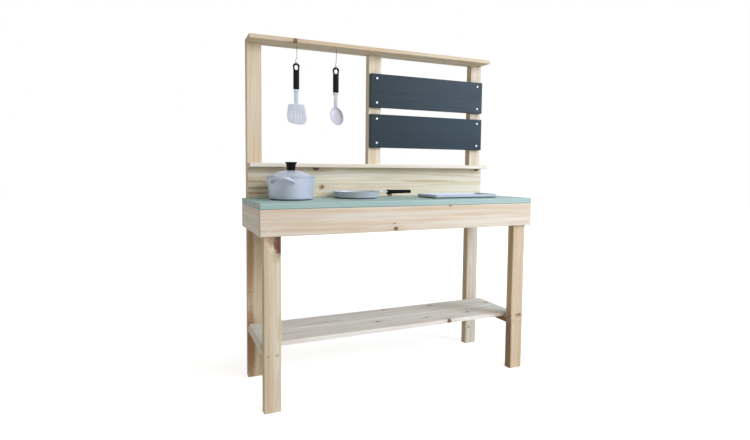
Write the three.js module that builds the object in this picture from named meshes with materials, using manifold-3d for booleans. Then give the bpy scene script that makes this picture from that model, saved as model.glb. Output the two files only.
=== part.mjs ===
import * as THREE from "three";
import { mergeVertices } from "three/addons/utils/BufferGeometryUtils.js";
import Module from "manifold-3d";

// A wooden mud kitchen: a frame of sawn softwood with a painted worktop, two chalkboard planks,
// a pot, a pan, a tray and two tools on hooks.
// Millimetres, +Z up, front facing -Y, origin on the ground under the middle of the unit.

const wasm = await Module();
wasm.setup();

// Whole unit
const unitWidth = 1000;
const unitDepth = 300;
const worktopHeight = 633;
const openHeight = 408;

// Timber sections
const legWidth = 52.5;
const legThickness = 27;
const postWidth = 52;
const postThickness = 27;
const apronHeight = 80;
const apronThickness = 13.5;
const railThickness = 14;
const edgeRadius = 2;
const endEase = 1.2;
const fitGap = 0.3;

// Worktop
const worktopThickness = 19;
const lastPlankWidth = 60;
const plankGap = 1;
const wholePlanks = 3;
const battenWidth = 50;
const battenThickness = 18;

// Upper part
const backsplashThickness = 12;
const backsplashHeight = 107;
const midShelfThickness = 14;
const midShelfDepth = 51;
const topShelfThickness = 14;
const topShelfDepth = 80;
const uprightInset = 472;
const chalkboardThickness = 15;
const chalkboardHeight = 125;
const chalkboardGap = 25;
const chalkboardRiseShare = 0.474;
const chalkboardStartInset = 2;
const chalkboardEndInset = 5;

// Lower shelf
const lowerShelfHeight = 198;
const lowerShelfThickness = 14;
const lowerBoardWidth = 96;
const lowerBoardGap = 2;
const bearerWidth = 50;
const bearerThickness = 18;

// Screws
const headRadius = 4.5;
const headDepth = 2.6;
const headSink = 0.2;
const shankRadius = 2;
const pointLength = 3;
const longScrew = 38;
const shortScrew = 26;
const roundHeadRadius = 4.2;
const roundHeadHeight = 2.2;
const apronScrewInset = 26;
const apronScrewRise = 18;
const bearerScrewInset = 12;
const chalkScrewInset = 25;
const chalkScrewEdge = 17.5;
const screwSides = 8;

// Hooks
const hookPlaceShares = [0.303, 0.668];
const hookShelfInset = 43;
const wireRadius = 1.2;
const hookDrops = [67.9, 69.9];
const hookBendRadius = 7;
const hookTipLength = 5;
const hookCrank = 4.5;
const hookCrankShares = [
  [0.3, 0],
  [0.56, 0],
  [0.69, 1.3],
  [0.8, 1],
];
const hookThread = 10;
const hookPlay = 0.5;

// Hanging tools
const handleLength = 90;
const handleWidth = 21;
const handleRingRadius = 13.4;
const handleThickness = 11;
const ringThickness = 7;
const ringWall = 6.4;
const ringHoleWidth = 12.8;
const ringHoleHeight = 17.8;
const handleRounding = 2.5;
const tangDepth = 22;
const tangThickness = 4;
const bladeThickness = 2.4;
const bladeCornerShares = [
  [-0.415, 0, 0.085],
  [-0.505, 0.58, 0.13],
  [-0.475, 0.85, 0.09],
  [-0.12, 1, 0.15],
  [0.36, 0.985, 0.12],
  [0.525, 0.78, 0.14],
  [0.415, 0, 0.085],
];
const spatulaNeckWidth = 13.5;
const spatulaNeckLength = 52;
const spatulaShoulderWidth = 18;
const spatulaShoulderHeight = 20;
const bladeWidth = 70;
const bladeLength = 72;
const bladeTilt = THREE.MathUtils.degToRad(10);
const slotWidth = 1.8;
const slotLength = 33;
const slotPitch = 11.5;
const slotCount = 4;
const slotDrop = 23;
const collarHeight = 8;
const collarWidth = 18;
const collarThickness = 9;
const spoonNeckWidth = 13;
const spoonNeckLength = 52;
const bowlWidth = 53;
const bowlLength = 68;
const bowlDepth = 11;
const bowlWall = 2;
const bowlTilt = THREE.MathUtils.degToRad(20);

// Things on the worktop: the shares of the free width before each, and how far in they stand
const itemGapShares = [0.202, 0.295, 0.106];
const potBackGap = 29.5;
const panBackGap = 5.5;
const trayFrontGap = 55;

// Pot and lid
const potBaseRadius = 71;
const potMouthRadius = 76.5;
const potRimRadius = 81.5;
const potHeight = 75;
const potWall = 2;
const potCornerRadius = 6;
const potLipHeight = 4;
const potTurn = THREE.MathUtils.degToRad(-36);
const loopSpan = 76;
const loopReach = 22;
const loopRise = 15;
const loopHeight = 57;
const loopRadius = 3;
const loopShares = [
  [1, -0.2, 0],
  [1, 0.14, 0.06],
  [0.94, 0.45, 0.42],
  [0.68, 0.82, 0.84],
];
const lidRadius = 77.5;
const lidThickness = 2;
const lidRise = 18;
const lidBrim = 9;
const domePower = 2.4;
const lidSkirtDepth = 3;
const lidSkirtPlay = 2.2;
const knobHeight = 27;
const knobTopRadius = 19.5;
const knobFootRadius = 13.5;
const knobNeckRadius = 16.5;
const knobLipHeight = 4;
const knobRounding = 1;
const knobScrewLength = 14;
const knobScrewRadius = 2.2;
const knobScrewHead = 5;
const knobScrewHeadHeight = 2;

// Pan
const panBaseRadius = 76;
const panRimRadius = 83.5;
const panHeight = 24;
const panWall = 2;
const panCornerRadius = 8;
const panLip = 2;
const neckLength = 37;
const neckWidth = 13;
const neckThickness = 3;
const neckDrop = 3;
const neckTang = 18;
const gripLength = 98;
const gripWidth = 20;
const gripThickness = 14;
const gripEndThickness = 12;
const gripRounding = 3;
const gripFlat = 1.2;

// Tray
const trayLength = 270;
const trayDepth = 120;
const trayHeight = 13;
const trayWall = 2;
const trayCornerRadius = 10;
const trayLip = 3;
const trayLipThickness = 2;

// Working values
const restGap = 0.3;
const cutOverrun = 5;
const weldDistance = 1e-3;
const potSides = 40;
const panSides = 44;
const knobSides = 24;
const bowlSides = 20;
const curveSteps = 6;
const cornerSteps = 3;
const bowlRings = 5;
const domeRings = 7;
const bendSteps = 6;
const wireSides = 6;
const wireSteps = 40;
const loopSides = 8;
const loopSteps = 18;

const left = -unitWidth / 2;
const right = unitWidth / 2;
const front = -unitDepth / 2;
const back = unitDepth / 2;
const apronTop = worktopHeight - worktopThickness;
const apronBottom = apronTop - apronHeight;
const legOuter = right - apronThickness;
const legFront = front + apronThickness;
const legBack = legFront + legThickness;
const postFront = back - postThickness;
const railFront = postFront - railThickness;
const plankPitch = (unitDepth - lastPlankWidth) / wholePlanks;
const backsplashFront = postFront - backsplashThickness;
const midShelfBottom = worktopHeight + backsplashHeight;
const midShelfTop = midShelfBottom + midShelfThickness;
const topShelfBottom = midShelfTop + openHeight;
const unitHeight = topShelfBottom + topShelfThickness;
const topShelfFront = back - topShelfDepth;
const midShelfFront = postFront - midShelfDepth;
const uprightLeft = left + uprightInset;
const uprightMiddle = uprightLeft + postWidth / 2;
const chalkboardFront = postFront - chalkboardThickness;
const chalkboardLeft = uprightLeft + chalkboardStartInset;
const chalkboardRight = legOuter - chalkboardEndInset;
const chalkboardPitch = chalkboardHeight + chalkboardGap;
const chalkboardRoom = topShelfBottom - midShelfTop - chalkboardPitch - chalkboardHeight;
const chalkboardBottom = midShelfTop + chalkboardRiseShare * chalkboardRoom;
const bearerTop = lowerShelfHeight - lowerShelfThickness;
const bearerBottom = bearerTop - bearerThickness;

// A surface finish: colour, roughness and metalness
function finish(colour, roughness, metalness = 0) {
  return () => new THREE.MeshStandardMaterial({ color: colour, roughness, metalness });
}

const finishes = {
  softwood: finish(0xe2c9a2, 0.7),
  mintPaint: finish(0xa3c4bc, 0.5),
  chalkPaint: finish(0x47525c, 0.75),
  screwSteel: finish(0xc9cbcc, 0.35, 1),
  hookSteel: finish(0xb9bcbf, 0.3, 1),
  blackPlastic: finish(0x141416, 0.45),
  greyNylon: finish(0xb9bfca, 0.5),
  panMetal: finish(0xaeb6c4, 0.35, 0.6),
};

// A closed geometry as a solid that can be joined and cut
function toSolid(geometry) {
  const bare = geometry.clone();
  bare.deleteAttribute("normal");
  bare.deleteAttribute("uv");
  const merged = mergeVertices(bare, weldDistance);
  const index = merged.index.array;
  const corners = [];
  for (let i = 0; i < index.length; i += 3) {
    const [a, b, c] = index.slice(i, i + 3);
    if (a !== b && b !== c && c !== a) corners.push(a, b, c);
  }
  const vertProperties = merged.attributes.position.array;
  const triVerts = new Uint32Array(corners);
  return new wasm.Manifold(new wasm.Mesh({ numProp: 3, vertProperties, triVerts }));
}

// A named mesh from a solid, placed by the middle of its box
function toMesh(name, makeFinish, solid) {
  const { vertProperties, triVerts } = solid.getMesh();
  const geometry = new THREE.BufferGeometry();
  geometry.setAttribute("position", new THREE.BufferAttribute(new Float32Array(vertProperties), 3));
  geometry.setIndex(new THREE.BufferAttribute(new Uint32Array(triVerts), 1));
  geometry.computeBoundingBox();
  const middle = geometry.boundingBox.getCenter(new THREE.Vector3());
  geometry.translate(-middle.x, -middle.y, -middle.z);
  geometry.computeVertexNormals();
  const mesh = new THREE.Mesh(geometry, makeFinish());
  mesh.name = name;
  mesh.position.copy(middle);
  return mesh;
}

function cut(solid, cutters) {
  return cutters.reduce((rest, cutter) => rest.subtract(cutter), solid);
}

function join(solids) {
  return solids.reduce((whole, part) => whole.add(part));
}

// The size and the middle of the space between two opposite corners
function measure(corner, opposite) {
  const space = new THREE.Box3().setFromPoints([corner, opposite]);
  return { size: space.getSize(new THREE.Vector3()), middle: space.getCenter(new THREE.Vector3()) };
}

function box(corner, opposite) {
  const { size, middle } = measure(corner, opposite);
  const geometry = new THREE.BoxGeometry(size.x, size.y, size.z);
  return toSolid(geometry.translate(middle.x, middle.y, middle.z));
}

function roundedRectangle(width, height, radius) {
  const shape = new THREE.Shape();
  const x = width / 2 - radius;
  const y = height / 2 - radius;
  const quarter = Math.PI / 2;
  shape.absarc(x, y, radius, 0, quarter);
  shape.absarc(-x, y, radius, quarter, 2 * quarter);
  shape.absarc(-x, -y, radius, 2 * quarter, 3 * quarter);
  shape.absarc(x, -y, radius, 3 * quarter, 4 * quarter);
  shape.closePath();
  return shape;
}

const unitX = new THREE.Vector3(1, 0, 0);
const unitY = new THREE.Vector3(0, 1, 0);
const unitZ = new THREE.Vector3(0, 0, 1);

// The board's own width, height and length directions for each way that its grain can run
const boardDirections = {
  x: [unitY, unitZ, unitX],
  y: [unitZ, unitX, unitY],
  z: [unitX, unitY, unitZ],
};

// A board between two opposite corners, with its long edges rounded and its ends eased
function board(grain, corner, opposite) {
  const [wide, tall, long] = boardDirections[grain];
  const { size, middle } = measure(corner, opposite);
  const length = size.dot(long);
  const geometry = new THREE.ExtrudeGeometry(roundedRectangle(size.dot(wide), size.dot(tall), edgeRadius), {
    depth: length - 2 * endEase,
    steps: 1,
    curveSegments: 1,
    bevelThickness: endEase,
    bevelSize: endEase,
    bevelOffset: -endEase,
    bevelSegments: 1,
  });
  geometry.translate(0, 0, endEase - length / 2);
  geometry.applyMatrix4(new THREE.Matrix4().makeBasis(wide, tall, long));
  geometry.translate(middle.x, middle.y, middle.z);
  return toSolid(geometry);
}

// A lathe solid whose axis stands on `at` and points along `out`
function turned(profile, sides, at = new THREE.Vector3(), out = unitZ) {
  const points = profile.map(([radius, height]) => new THREE.Vector2(radius, height));
  const geometry = new THREE.LatheGeometry(points, sides);
  geometry.applyQuaternion(new THREE.Quaternion().setFromUnitVectors(unitY, out));
  geometry.translate(at.x, at.y, at.z);
  return toSolid(geometry);
}

// A countersunk screw set flush in a face, and the hole it needs
function flushScrew(at, out, length) {
  const seat = at.clone().addScaledVector(out, -headSink);
  const screw = turned([
    [0, -length],
    [shankRadius, pointLength - length],
    [shankRadius, -headDepth],
    [headRadius, 0],
    [0, 0],
  ], screwSides, seat, out);
  const hole = turned([
    [0, -length - fitGap],
    [shankRadius + fitGap, -length - fitGap],
    [shankRadius + fitGap, -headDepth - fitGap],
    [headRadius + fitGap, -fitGap],
    [headRadius + fitGap, cutOverrun],
    [0, cutOverrun],
  ], screwSides, seat, out);
  return { screw, hole };
}

// A round-head screw standing on a face, and the hole it needs
function roundHeadScrew(at, out, length) {
  const seat = at.clone().addScaledVector(out, fitGap);
  const screw = turned([
    [0, -length],
    [shankRadius, pointLength - length],
    [shankRadius, 0],
    [roundHeadRadius, 0],
    [roundHeadRadius, roundHeadHeight / 3],
    [roundHeadRadius / 2, roundHeadHeight],
    [0, roundHeadHeight],
  ], screwSides, seat, out);
  const hole = turned([
    [0, -length - fitGap],
    [shankRadius + fitGap, -length - fitGap],
    [shankRadius + fitGap, cutOverrun],
    [0, cutOverrun],
  ], screwSides, seat, out);
  return { screw, hole };
}

const point = (x, y, z) => new THREE.Vector3(x, y, z);
const sides = [-1, 1];
const sideNames = ["left", "right"];
const toFront = point(0, -1, 0);
const toBack = point(0, 1, 0);
const toTop = point(0, 0, 1);
const toGround = point(0, 0, -1);

const frame = new THREE.Group();
const screwHoles = [];

// Drives numbered screws into the frame and keeps their holes for the boards
function drive(name, makeScrew, places, out, length) {
  places.forEach((at, i) => {
    const { screw, hole } = makeScrew(at, out, length);
    frame.add(toMesh(`${name}_${i + 1}`, finishes.screwSteel, screw));
    screwHoles.push(hole);
  });
}

const bearerScrewX = legOuter - bearerScrewInset;
const postMiddle = legOuter - postWidth / 2;
const postDepthMiddle = (postFront + back) / 2;
const bearerHeight = (bearerBottom + bearerTop) / 2;
const chalkboardScrewHeights = [chalkboardBottom, chalkboardBottom + chalkboardPitch]
  .flatMap((z) => [z + chalkScrewEdge, z + chalkboardHeight - chalkScrewEdge]);
const chalkboardScrewPlaces = [chalkboardLeft + chalkScrewInset, chalkboardRight - chalkScrewInset];
drive(
  "chalkboard_screw",
  roundHeadScrew,
  chalkboardScrewHeights.flatMap((z) => chalkboardScrewPlaces.map((x) => point(x, chalkboardFront, z))),
  toFront,
  shortScrew,
);
drive(
  "front_apron_screw",
  flushScrew,
  sides.map((side) => point(side * (right - apronScrewInset), front, apronBottom + apronScrewRise)),
  toFront,
  shortScrew,
);
const sideScrewHeight = apronTop - apronHeight / 2;
sides.forEach((side, i) => drive(
  `${sideNames[i]}_side_apron_screw`,
  flushScrew,
  [(legFront + legBack) / 2, postDepthMiddle].map((y) => point(side * right, y, sideScrewHeight)),
  point(side, 0, 0),
  longScrew,
));
drive(
  "front_bearer_screw",
  flushScrew,
  sides.map((side) => point(side * bearerScrewX, legFront, bearerHeight)),
  toFront,
  longScrew,
);
drive(
  "rear_bearer_screw",
  flushScrew,
  sides.map((side) => point(side * bearerScrewX, back, bearerHeight)),
  toBack,
  longScrew,
);
drive(
  "top_shelf_screw",
  flushScrew,
  [-postMiddle, uprightMiddle, postMiddle].map((x) => point(x, postDepthMiddle, unitHeight)),
  toTop,
  longScrew,
);

// Adds a board, drilled for the screws that pass through it
function addBoard(name, makeFinish, grain, corner, opposite, cutters = []) {
  frame.add(toMesh(name, makeFinish, cut(board(grain, corner, opposite), [...screwHoles, ...cutters])));
}

// Legs, posts and the middle upright
sides.forEach((side, i) => {
  const outer = side * legOuter;
  addBoard(
    `${sideNames[i]}_front_leg`,
    finishes.softwood,
    "z",
    point(outer, legFront, 0),
    point(outer - side * legWidth, legBack, apronTop),
  );
  addBoard(
    `${sideNames[i]}_back_post`,
    finishes.softwood,
    "z",
    point(outer, postFront, 0),
    point(outer - side * postWidth, back, topShelfBottom),
  );
});
addBoard(
  "middle_upright",
  finishes.softwood,
  "z",
  point(uprightLeft, postFront, worktopHeight),
  point(uprightLeft + postWidth, back, topShelfBottom),
);

// Apron boards, rear rail and batten under the worktop
addBoard(
  "front_apron",
  finishes.softwood,
  "x",
  point(left, front, apronBottom),
  point(right, legFront, apronTop),
);
sides.forEach((side, i) => addBoard(
  `${sideNames[i]}_side_apron`,
  finishes.softwood,
  "y",
  point(side * legOuter, legFront, apronBottom),
  point(side * right, back, apronTop),
));
addBoard(
  "rear_rail",
  finishes.softwood,
  "x",
  point(-legOuter, railFront, apronBottom),
  point(legOuter, postFront, apronTop),
);
addBoard(
  "worktop_batten",
  finishes.softwood,
  "y",
  point(-battenWidth / 2, legFront, apronTop - battenThickness),
  point(battenWidth / 2, railFront, apronTop),
);

// Worktop planks, front to back, the last one notched round the two back posts
const postNotches = sides.map((side) => box(
  point(side * (legOuter - postWidth - fitGap), postFront - fitGap, apronTop - cutOverrun),
  point(side * (legOuter + fitGap), back + cutOverrun, worktopHeight + cutOverrun),
));
for (let i = 0; i <= wholePlanks; i += 1) {
  const plankFront = front + i * plankPitch;
  const last = i === wholePlanks;
  addBoard(
    `worktop_plank_${i + 1}`,
    finishes.mintPaint,
    "x",
    point(left, plankFront, apronTop),
    point(right, last ? back : plankFront + plankPitch - plankGap, worktopHeight),
    last ? postNotches : [],
  );
}

// Backsplash and the ledge on it
addBoard(
  "backsplash",
  finishes.softwood,
  "x",
  point(-legOuter, backsplashFront, worktopHeight),
  point(legOuter, postFront, midShelfBottom),
);
addBoard(
  "mid_shelf",
  finishes.softwood,
  "x",
  point(-legOuter, midShelfFront, midShelfBottom),
  point(legOuter, postFront, midShelfTop),
);

// Top shelf, with pilot holes for the hooks between the left post and the middle upright
const toolSpaceLeft = postWidth - legOuter;
const hookPlaces = hookPlaceShares.map((share) => point(
  THREE.MathUtils.lerp(toolSpaceLeft, uprightLeft, share),
  topShelfFront + hookShelfInset,
  topShelfBottom,
));
const pilotRadius = wireRadius + fitGap;
const pilotDepth = hookThread + fitGap;
const hookPilots = hookPlaces.map((at) => turned([
  [0, -pilotDepth],
  [pilotRadius, -pilotDepth],
  [pilotRadius, cutOverrun],
  [0, cutOverrun],
], wireSides, at, toGround));
addBoard(
  "top_shelf",
  finishes.softwood,
  "x",
  point(-legOuter, topShelfFront, topShelfBottom),
  point(legOuter, back, unitHeight),
  hookPilots,
);

// Chalkboard planks on the middle upright and the right back post
["chalkboard_lower", "chalkboard_upper"].forEach((name, i) => {
  const z = chalkboardBottom + i * chalkboardPitch;
  addBoard(
    name,
    finishes.chalkPaint,
    "x",
    point(chalkboardLeft, chalkboardFront, z),
    point(chalkboardRight, postFront, z + chalkboardHeight),
  );
});

// Bearers between the legs and posts, and the two shelf boards on them
sides.forEach((side, i) => addBoard(
  `${sideNames[i]}_shelf_bearer`,
  finishes.softwood,
  "y",
  point(side * legOuter, legBack, bearerBottom),
  point(side * (legOuter - bearerWidth), postFront, bearerTop),
));
const shelfMiddle = (legBack + postFront) / 2;
["lower_shelf_front_board", "lower_shelf_rear_board"].forEach((name, i) => {
  const near = shelfMiddle + sides[i] * lowerBoardGap / 2;
  addBoard(
    name,
    finishes.softwood,
    "x",
    point(-legOuter, near, bearerTop),
    point(legOuter, near + sides[i] * lowerBoardWidth, lowerShelfHeight),
  );
});

// A round bar along a smooth curve through the given points
function roundBar(points, radius, barSides, steps) {
  const section = new THREE.Shape().absarc(0, 0, radius, 0, 2 * Math.PI);
  return toSolid(new THREE.ExtrudeGeometry(section, {
    steps,
    curveSegments: barSides / 2,
    bevelEnabled: false,
    extrudePath: new THREE.CatmullRomCurve3(points, false, "centripetal"),
  }));
}

// Wire hooks: a straight shank cranked to the left, then bent forward at the foot to carry a tool
function hookLine(drop) {
  const bendCentre = hookBendRadius - drop;
  return [
    point(0, 0, hookThread),
    point(0, 0, 0),
    ...hookCrankShares.map(([share, aside]) => point(-aside * hookCrank, 0, -share * drop)),
    ...Array.from({ length: bendSteps + 1 }, (_, i) => {
      const angle = (i / bendSteps) * Math.PI;
      return point(
        -hookCrank,
        hookBendRadius * (Math.cos(angle) - 1),
        bendCentre - hookBendRadius * Math.sin(angle),
      );
    }),
    point(-hookCrank, -2 * hookBendRadius, bendCentre + hookTipLength),
  ];
}
hookPlaces.forEach((at, i) => {
  const wire = roundBar(hookLine(hookDrops[i]), wireRadius, wireSides, wireSteps);
  const hook = toMesh(`${sideNames[i]}_hook`, finishes.hookSteel, wire);
  hook.position.add(at);
  frame.add(hook);
});

// Moves each vertex of a geometry to where a function of its place says
function reshape(geometry, place) {
  const position = geometry.attributes.position;
  const vertex = point(0, 0, 0);
  for (let i = 0; i < position.count; i += 1) {
    vertex.fromBufferAttribute(position, i);
    place(vertex);
    position.setXYZ(i, vertex.x, vertex.y, vertex.z);
  }
  return geometry;
}

// Leans everything below a height forward
function leanForward(geometry, fromHeight, angle) {
  const slope = Math.tan(angle);
  return reshape(geometry, (vertex) => {
    vertex.y -= slope * Math.max(0, fromHeight - vertex.z);
  });
}

// An outline through corners, each rounded off over a distance along its two sides
function roundedOutline(corners) {
  const shape = new THREE.Shape();
  corners.forEach(([x, y, rounding], i) => {
    const corner = new THREE.Vector2(x, y);
    const towards = ([otherX, otherY]) => {
      const other = new THREE.Vector2(otherX, otherY);
      return corner.clone().lerp(other, rounding / corner.distanceTo(other));
    };
    const start = towards(corners.at(i - 1));
    const end = towards(corners[(i + 1) % corners.length]);
    if (i === 0) shape.moveTo(start.x, start.y);
    else shape.lineTo(start.x, start.y);
    shape.quadraticCurveTo(x, y, end.x, end.y);
  });
  shape.closePath();
  return shape;
}

// A flat piece of even thickness, standing in the plane of the tool
function flatPiece(shape, thickness) {
  const geometry = new THREE.ExtrudeGeometry(shape, {
    depth: thickness,
    curveSegments: curveSteps,
    bevelEnabled: false,
  });
  geometry.translate(0, 0, -thickness / 2);
  return geometry.rotateX(Math.PI / 2);
}

// Hanging tools, each in a group whose origin is the hook wire that it swings on
const handleTop = wireRadius + hookPlay + ringWall;
const handleBottom = handleTop - handleLength;
const ringMiddle = handleTop - handleRingRadius;
const ringBottom = ringMiddle - handleRingRadius;

function toolHandle(name, tangWidth) {
  const half = handleWidth / 2;
  const cheek = ringMiddle - handleRingRadius / 2;
  const shape = new THREE.Shape();
  shape.moveTo(-half, handleBottom);
  shape.lineTo(half, handleBottom);
  shape.lineTo(half, ringBottom);
  shape.quadraticCurveTo(half, cheek, handleRingRadius, ringMiddle);
  shape.absarc(0, ringMiddle, handleRingRadius, 0, Math.PI);
  shape.quadraticCurveTo(-half, cheek, -half, ringBottom);
  shape.closePath();
  const hole = new THREE.Path();
  const holeMiddle = handleTop - ringWall - ringHoleHeight / 2;
  hole.absellipse(0, holeMiddle, ringHoleWidth / 2, ringHoleHeight / 2, 0, 2 * Math.PI);
  shape.holes.push(hole);
  const depth = ringThickness - 2 * handleRounding;
  const geometry = new THREE.ExtrudeGeometry(shape, {
    depth,
    curveSegments: curveSteps,
    bevelThickness: handleRounding,
    bevelSize: handleRounding,
    bevelOffset: -handleRounding,
    bevelSegments: 2,
  });
  geometry.translate(0, 0, -depth / 2);
  geometry.rotateX(Math.PI / 2);
  reshape(geometry, (vertex) => {
    if (vertex.z <= ringBottom) vertex.y *= handleThickness / ringThickness;
  });
  const socket = box(
    point(-tangWidth / 2 - fitGap, -tangThickness / 2 - fitGap, handleBottom - cutOverrun),
    point(tangWidth / 2 + fitGap, tangThickness / 2 + fitGap, handleBottom + tangDepth + fitGap),
  );
  return toMesh(name, finishes.blackPlastic, cut(toSolid(geometry), [socket]));
}

// The tang in the handle's socket and the neck below it, down to a height
function neckBar(width, bottom) {
  return box(
    point(-width / 2, -tangThickness / 2, bottom),
    point(width / 2, tangThickness / 2, handleBottom + tangDepth),
  );
}

function spatulaBlade() {
  const bladeTop = handleBottom - spatulaNeckLength;
  const blade = roundedOutline(bladeCornerShares.map(([across, down, rounding]) => (
    [across * bladeWidth, bladeTop - down * bladeLength, rounding * bladeWidth])));
  const slotTop = bladeTop - slotDrop;
  const slotRadius = slotWidth / 2;
  for (let i = 0; i < slotCount; i += 1) {
    const x = (i - (slotCount - 1) / 2) * slotPitch;
    const slot = new THREE.Path();
    slot.absarc(x, slotTop - slotRadius, slotRadius, 0, Math.PI);
    slot.absarc(x, slotTop - slotLength + slotRadius, slotRadius, Math.PI, 2 * Math.PI);
    slot.closePath();
    blade.holes.push(slot);
  }
  const shoulderTop = handleBottom - fitGap;
  const shoulder = new THREE.Shape([
    new THREE.Vector2(-spatulaShoulderWidth / 2, shoulderTop),
    new THREE.Vector2(-spatulaNeckWidth / 2, shoulderTop - spatulaShoulderHeight),
    new THREE.Vector2(spatulaNeckWidth / 2, shoulderTop - spatulaShoulderHeight),
    new THREE.Vector2(spatulaShoulderWidth / 2, shoulderTop),
  ]);
  return toMesh("spatula_blade", finishes.greyNylon, join([
    neckBar(spatulaNeckWidth, bladeTop - bladeThickness),
    toSolid(flatPiece(shoulder, tangThickness)),
    toSolid(leanForward(flatPiece(blade, bladeThickness), bladeTop, bladeTilt)),
  ]));
}

// A quarter of an ellipse from its lowest point out to its rim, or back
function quarterBowl(radius, depth, from, to) {
  return Array.from({ length: bowlRings + 1 }, (_, i) => {
    const angle = THREE.MathUtils.lerp(from, to, i / bowlRings);
    return new THREE.Vector2(radius * Math.sin(angle), -depth * Math.cos(angle));
  });
}

function spoonBowl() {
  const neckBottom = handleBottom - spoonNeckLength;
  const quarter = Math.PI / 2;
  const outer = bowlWidth / 2;
  const bowl = new THREE.LatheGeometry([
    ...quarterBowl(outer, bowlDepth, 0, quarter),
    ...quarterBowl(outer - bowlWall, bowlDepth - bowlWall, quarter, 0),
  ], bowlSides);
  bowl.rotateZ(Math.PI);
  bowl.scale(1, 1, bowlLength / bowlWidth);
  bowl.translate(0, 0, neckBottom - bowlLength / 2);
  const collar = new THREE.ExtrudeGeometry(roundedRectangle(collarWidth, collarThickness, edgeRadius), {
    depth: collarHeight,
    curveSegments: 2,
    bevelEnabled: false,
  });
  collar.translate(0, 0, handleBottom - fitGap - collarHeight);
  return toMesh("spoon_bowl", finishes.greyNylon, join([
    neckBar(spoonNeckWidth, neckBottom - bowlWall),
    toSolid(collar),
    toSolid(leanForward(bowl, neckBottom, bowlTilt)),
  ]));
}

const toolPlaces = hookPlaces.map((at, i) => (
  at.clone().add(point(-hookCrank, -hookBendRadius, -hookDrops[i]))));
const spatula = new THREE.Group();
spatula.position.copy(toolPlaces[0]);
spatula.add(toolHandle("spatula_handle", spatulaNeckWidth), spatulaBlade());
const spoon = new THREE.Group();
spoon.position.copy(toolPlaces[1]);
spoon.add(toolHandle("spoon_handle", spoonNeckWidth), spoonBowl());

// Where the things on the worktop stand
const panReach = panRimRadius + neckLength + gripLength;
const freeWidth = unitWidth - 2 * potRimRadius - panRimRadius - panReach - trayLength;
const [potGap, panGap, trayGap] = itemGapShares.map((share) => share * freeWidth);
const potX = left + potGap + potRimRadius;
const panX = potX + potRimRadius + panGap + panRimRadius;
const trayX = panX + panReach + trayGap + trayLength / 2;

// The bowed corner between a vessel's base and its wall, walked from one angle to another
function vesselCorner(baseRadius, cornerRadius, radius, from, to) {
  return Array.from({ length: cornerSteps + 1 }, (_, i) => {
    const angle = THREE.MathUtils.lerp(from, to, i / cornerSteps);
    return [baseRadius - cornerRadius + radius * Math.sin(angle), cornerRadius - radius * Math.cos(angle)];
  });
}

// A round pot or pan: outer wall up to the lip, and back down inside
function vesselProfile({ baseRadius, wallRadius, rimRadius, height, wall, cornerRadius, lipHeight }) {
  const quarter = Math.PI / 2;
  return [
    [0, 0],
    ...vesselCorner(baseRadius, cornerRadius, cornerRadius, 0, quarter),
    [wallRadius, height - lipHeight],
    [rimRadius, height - lipHeight / 2],
    [rimRadius, height],
    [wallRadius - wall, height],
    ...vesselCorner(baseRadius, cornerRadius, cornerRadius - wall, quarter, 0),
    [0, wall],
  ];
}

// The same outer form without its hollow, a little larger, to shape what meets the wall
function vesselBlank({ baseRadius, wallRadius, rimRadius, height, lipHeight }, vesselSides) {
  return turned([
    [0, -cutOverrun],
    [baseRadius + fitGap, -cutOverrun],
    [baseRadius + fitGap, 0],
    [wallRadius + fitGap, height - lipHeight],
    [rimRadius + fitGap, height - lipHeight / 2],
    [rimRadius + fitGap, height + cutOverrun],
    [0, height + cutOverrun],
  ], vesselSides);
}

// Pot with two loop handles
const potWallRadius = potMouthRadius + potWall;
const potSizes = {
  baseRadius: potBaseRadius,
  wallRadius: potWallRadius,
  rimRadius: potRimRadius,
  height: potHeight,
  wall: potWall,
  cornerRadius: potCornerRadius,
  lipHeight: potLipHeight,
};
const pot = new THREE.Group();
pot.position.set(potX, backsplashFront - potBackGap - potRimRadius, worktopHeight + restGap);
pot.rotation.z = potTurn;
pot.add(toMesh("pot_body", finishes.panMetal, turned(vesselProfile(potSizes), potSides)));

const wallShareAtLoop = loopHeight / (potHeight - potLipHeight);
const wallAtLoop = THREE.MathUtils.lerp(potBaseRadius, potWallRadius, wallShareAtLoop);
const loopFoot = Math.sqrt(wallAtLoop ** 2 - (loopSpan / 2) ** 2);
const loopDepth = wallAtLoop + loopReach - loopFoot;
["near", "far"].forEach((name, i) => {
  const outward = sides[i];
  const half = loopShares.map(([along, out, up]) => point(
    along * loopSpan / 2,
    outward * (loopFoot + out * loopDepth),
    loopHeight + up * loopRise,
  ));
  const mirrored = half.map((vertex) => point(-vertex.x, vertex.y, vertex.z));
  const tip = point(0, outward * (loopFoot + loopDepth), loopHeight + loopRise);
  const bar = roundBar([...mirrored, tip, ...half.reverse()], loopRadius, loopSides, loopSteps);
  pot.add(toMesh(`pot_${name}_handle`, finishes.panMetal, cut(bar, [vesselBlank(potSizes, potSides)])));
});

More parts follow.
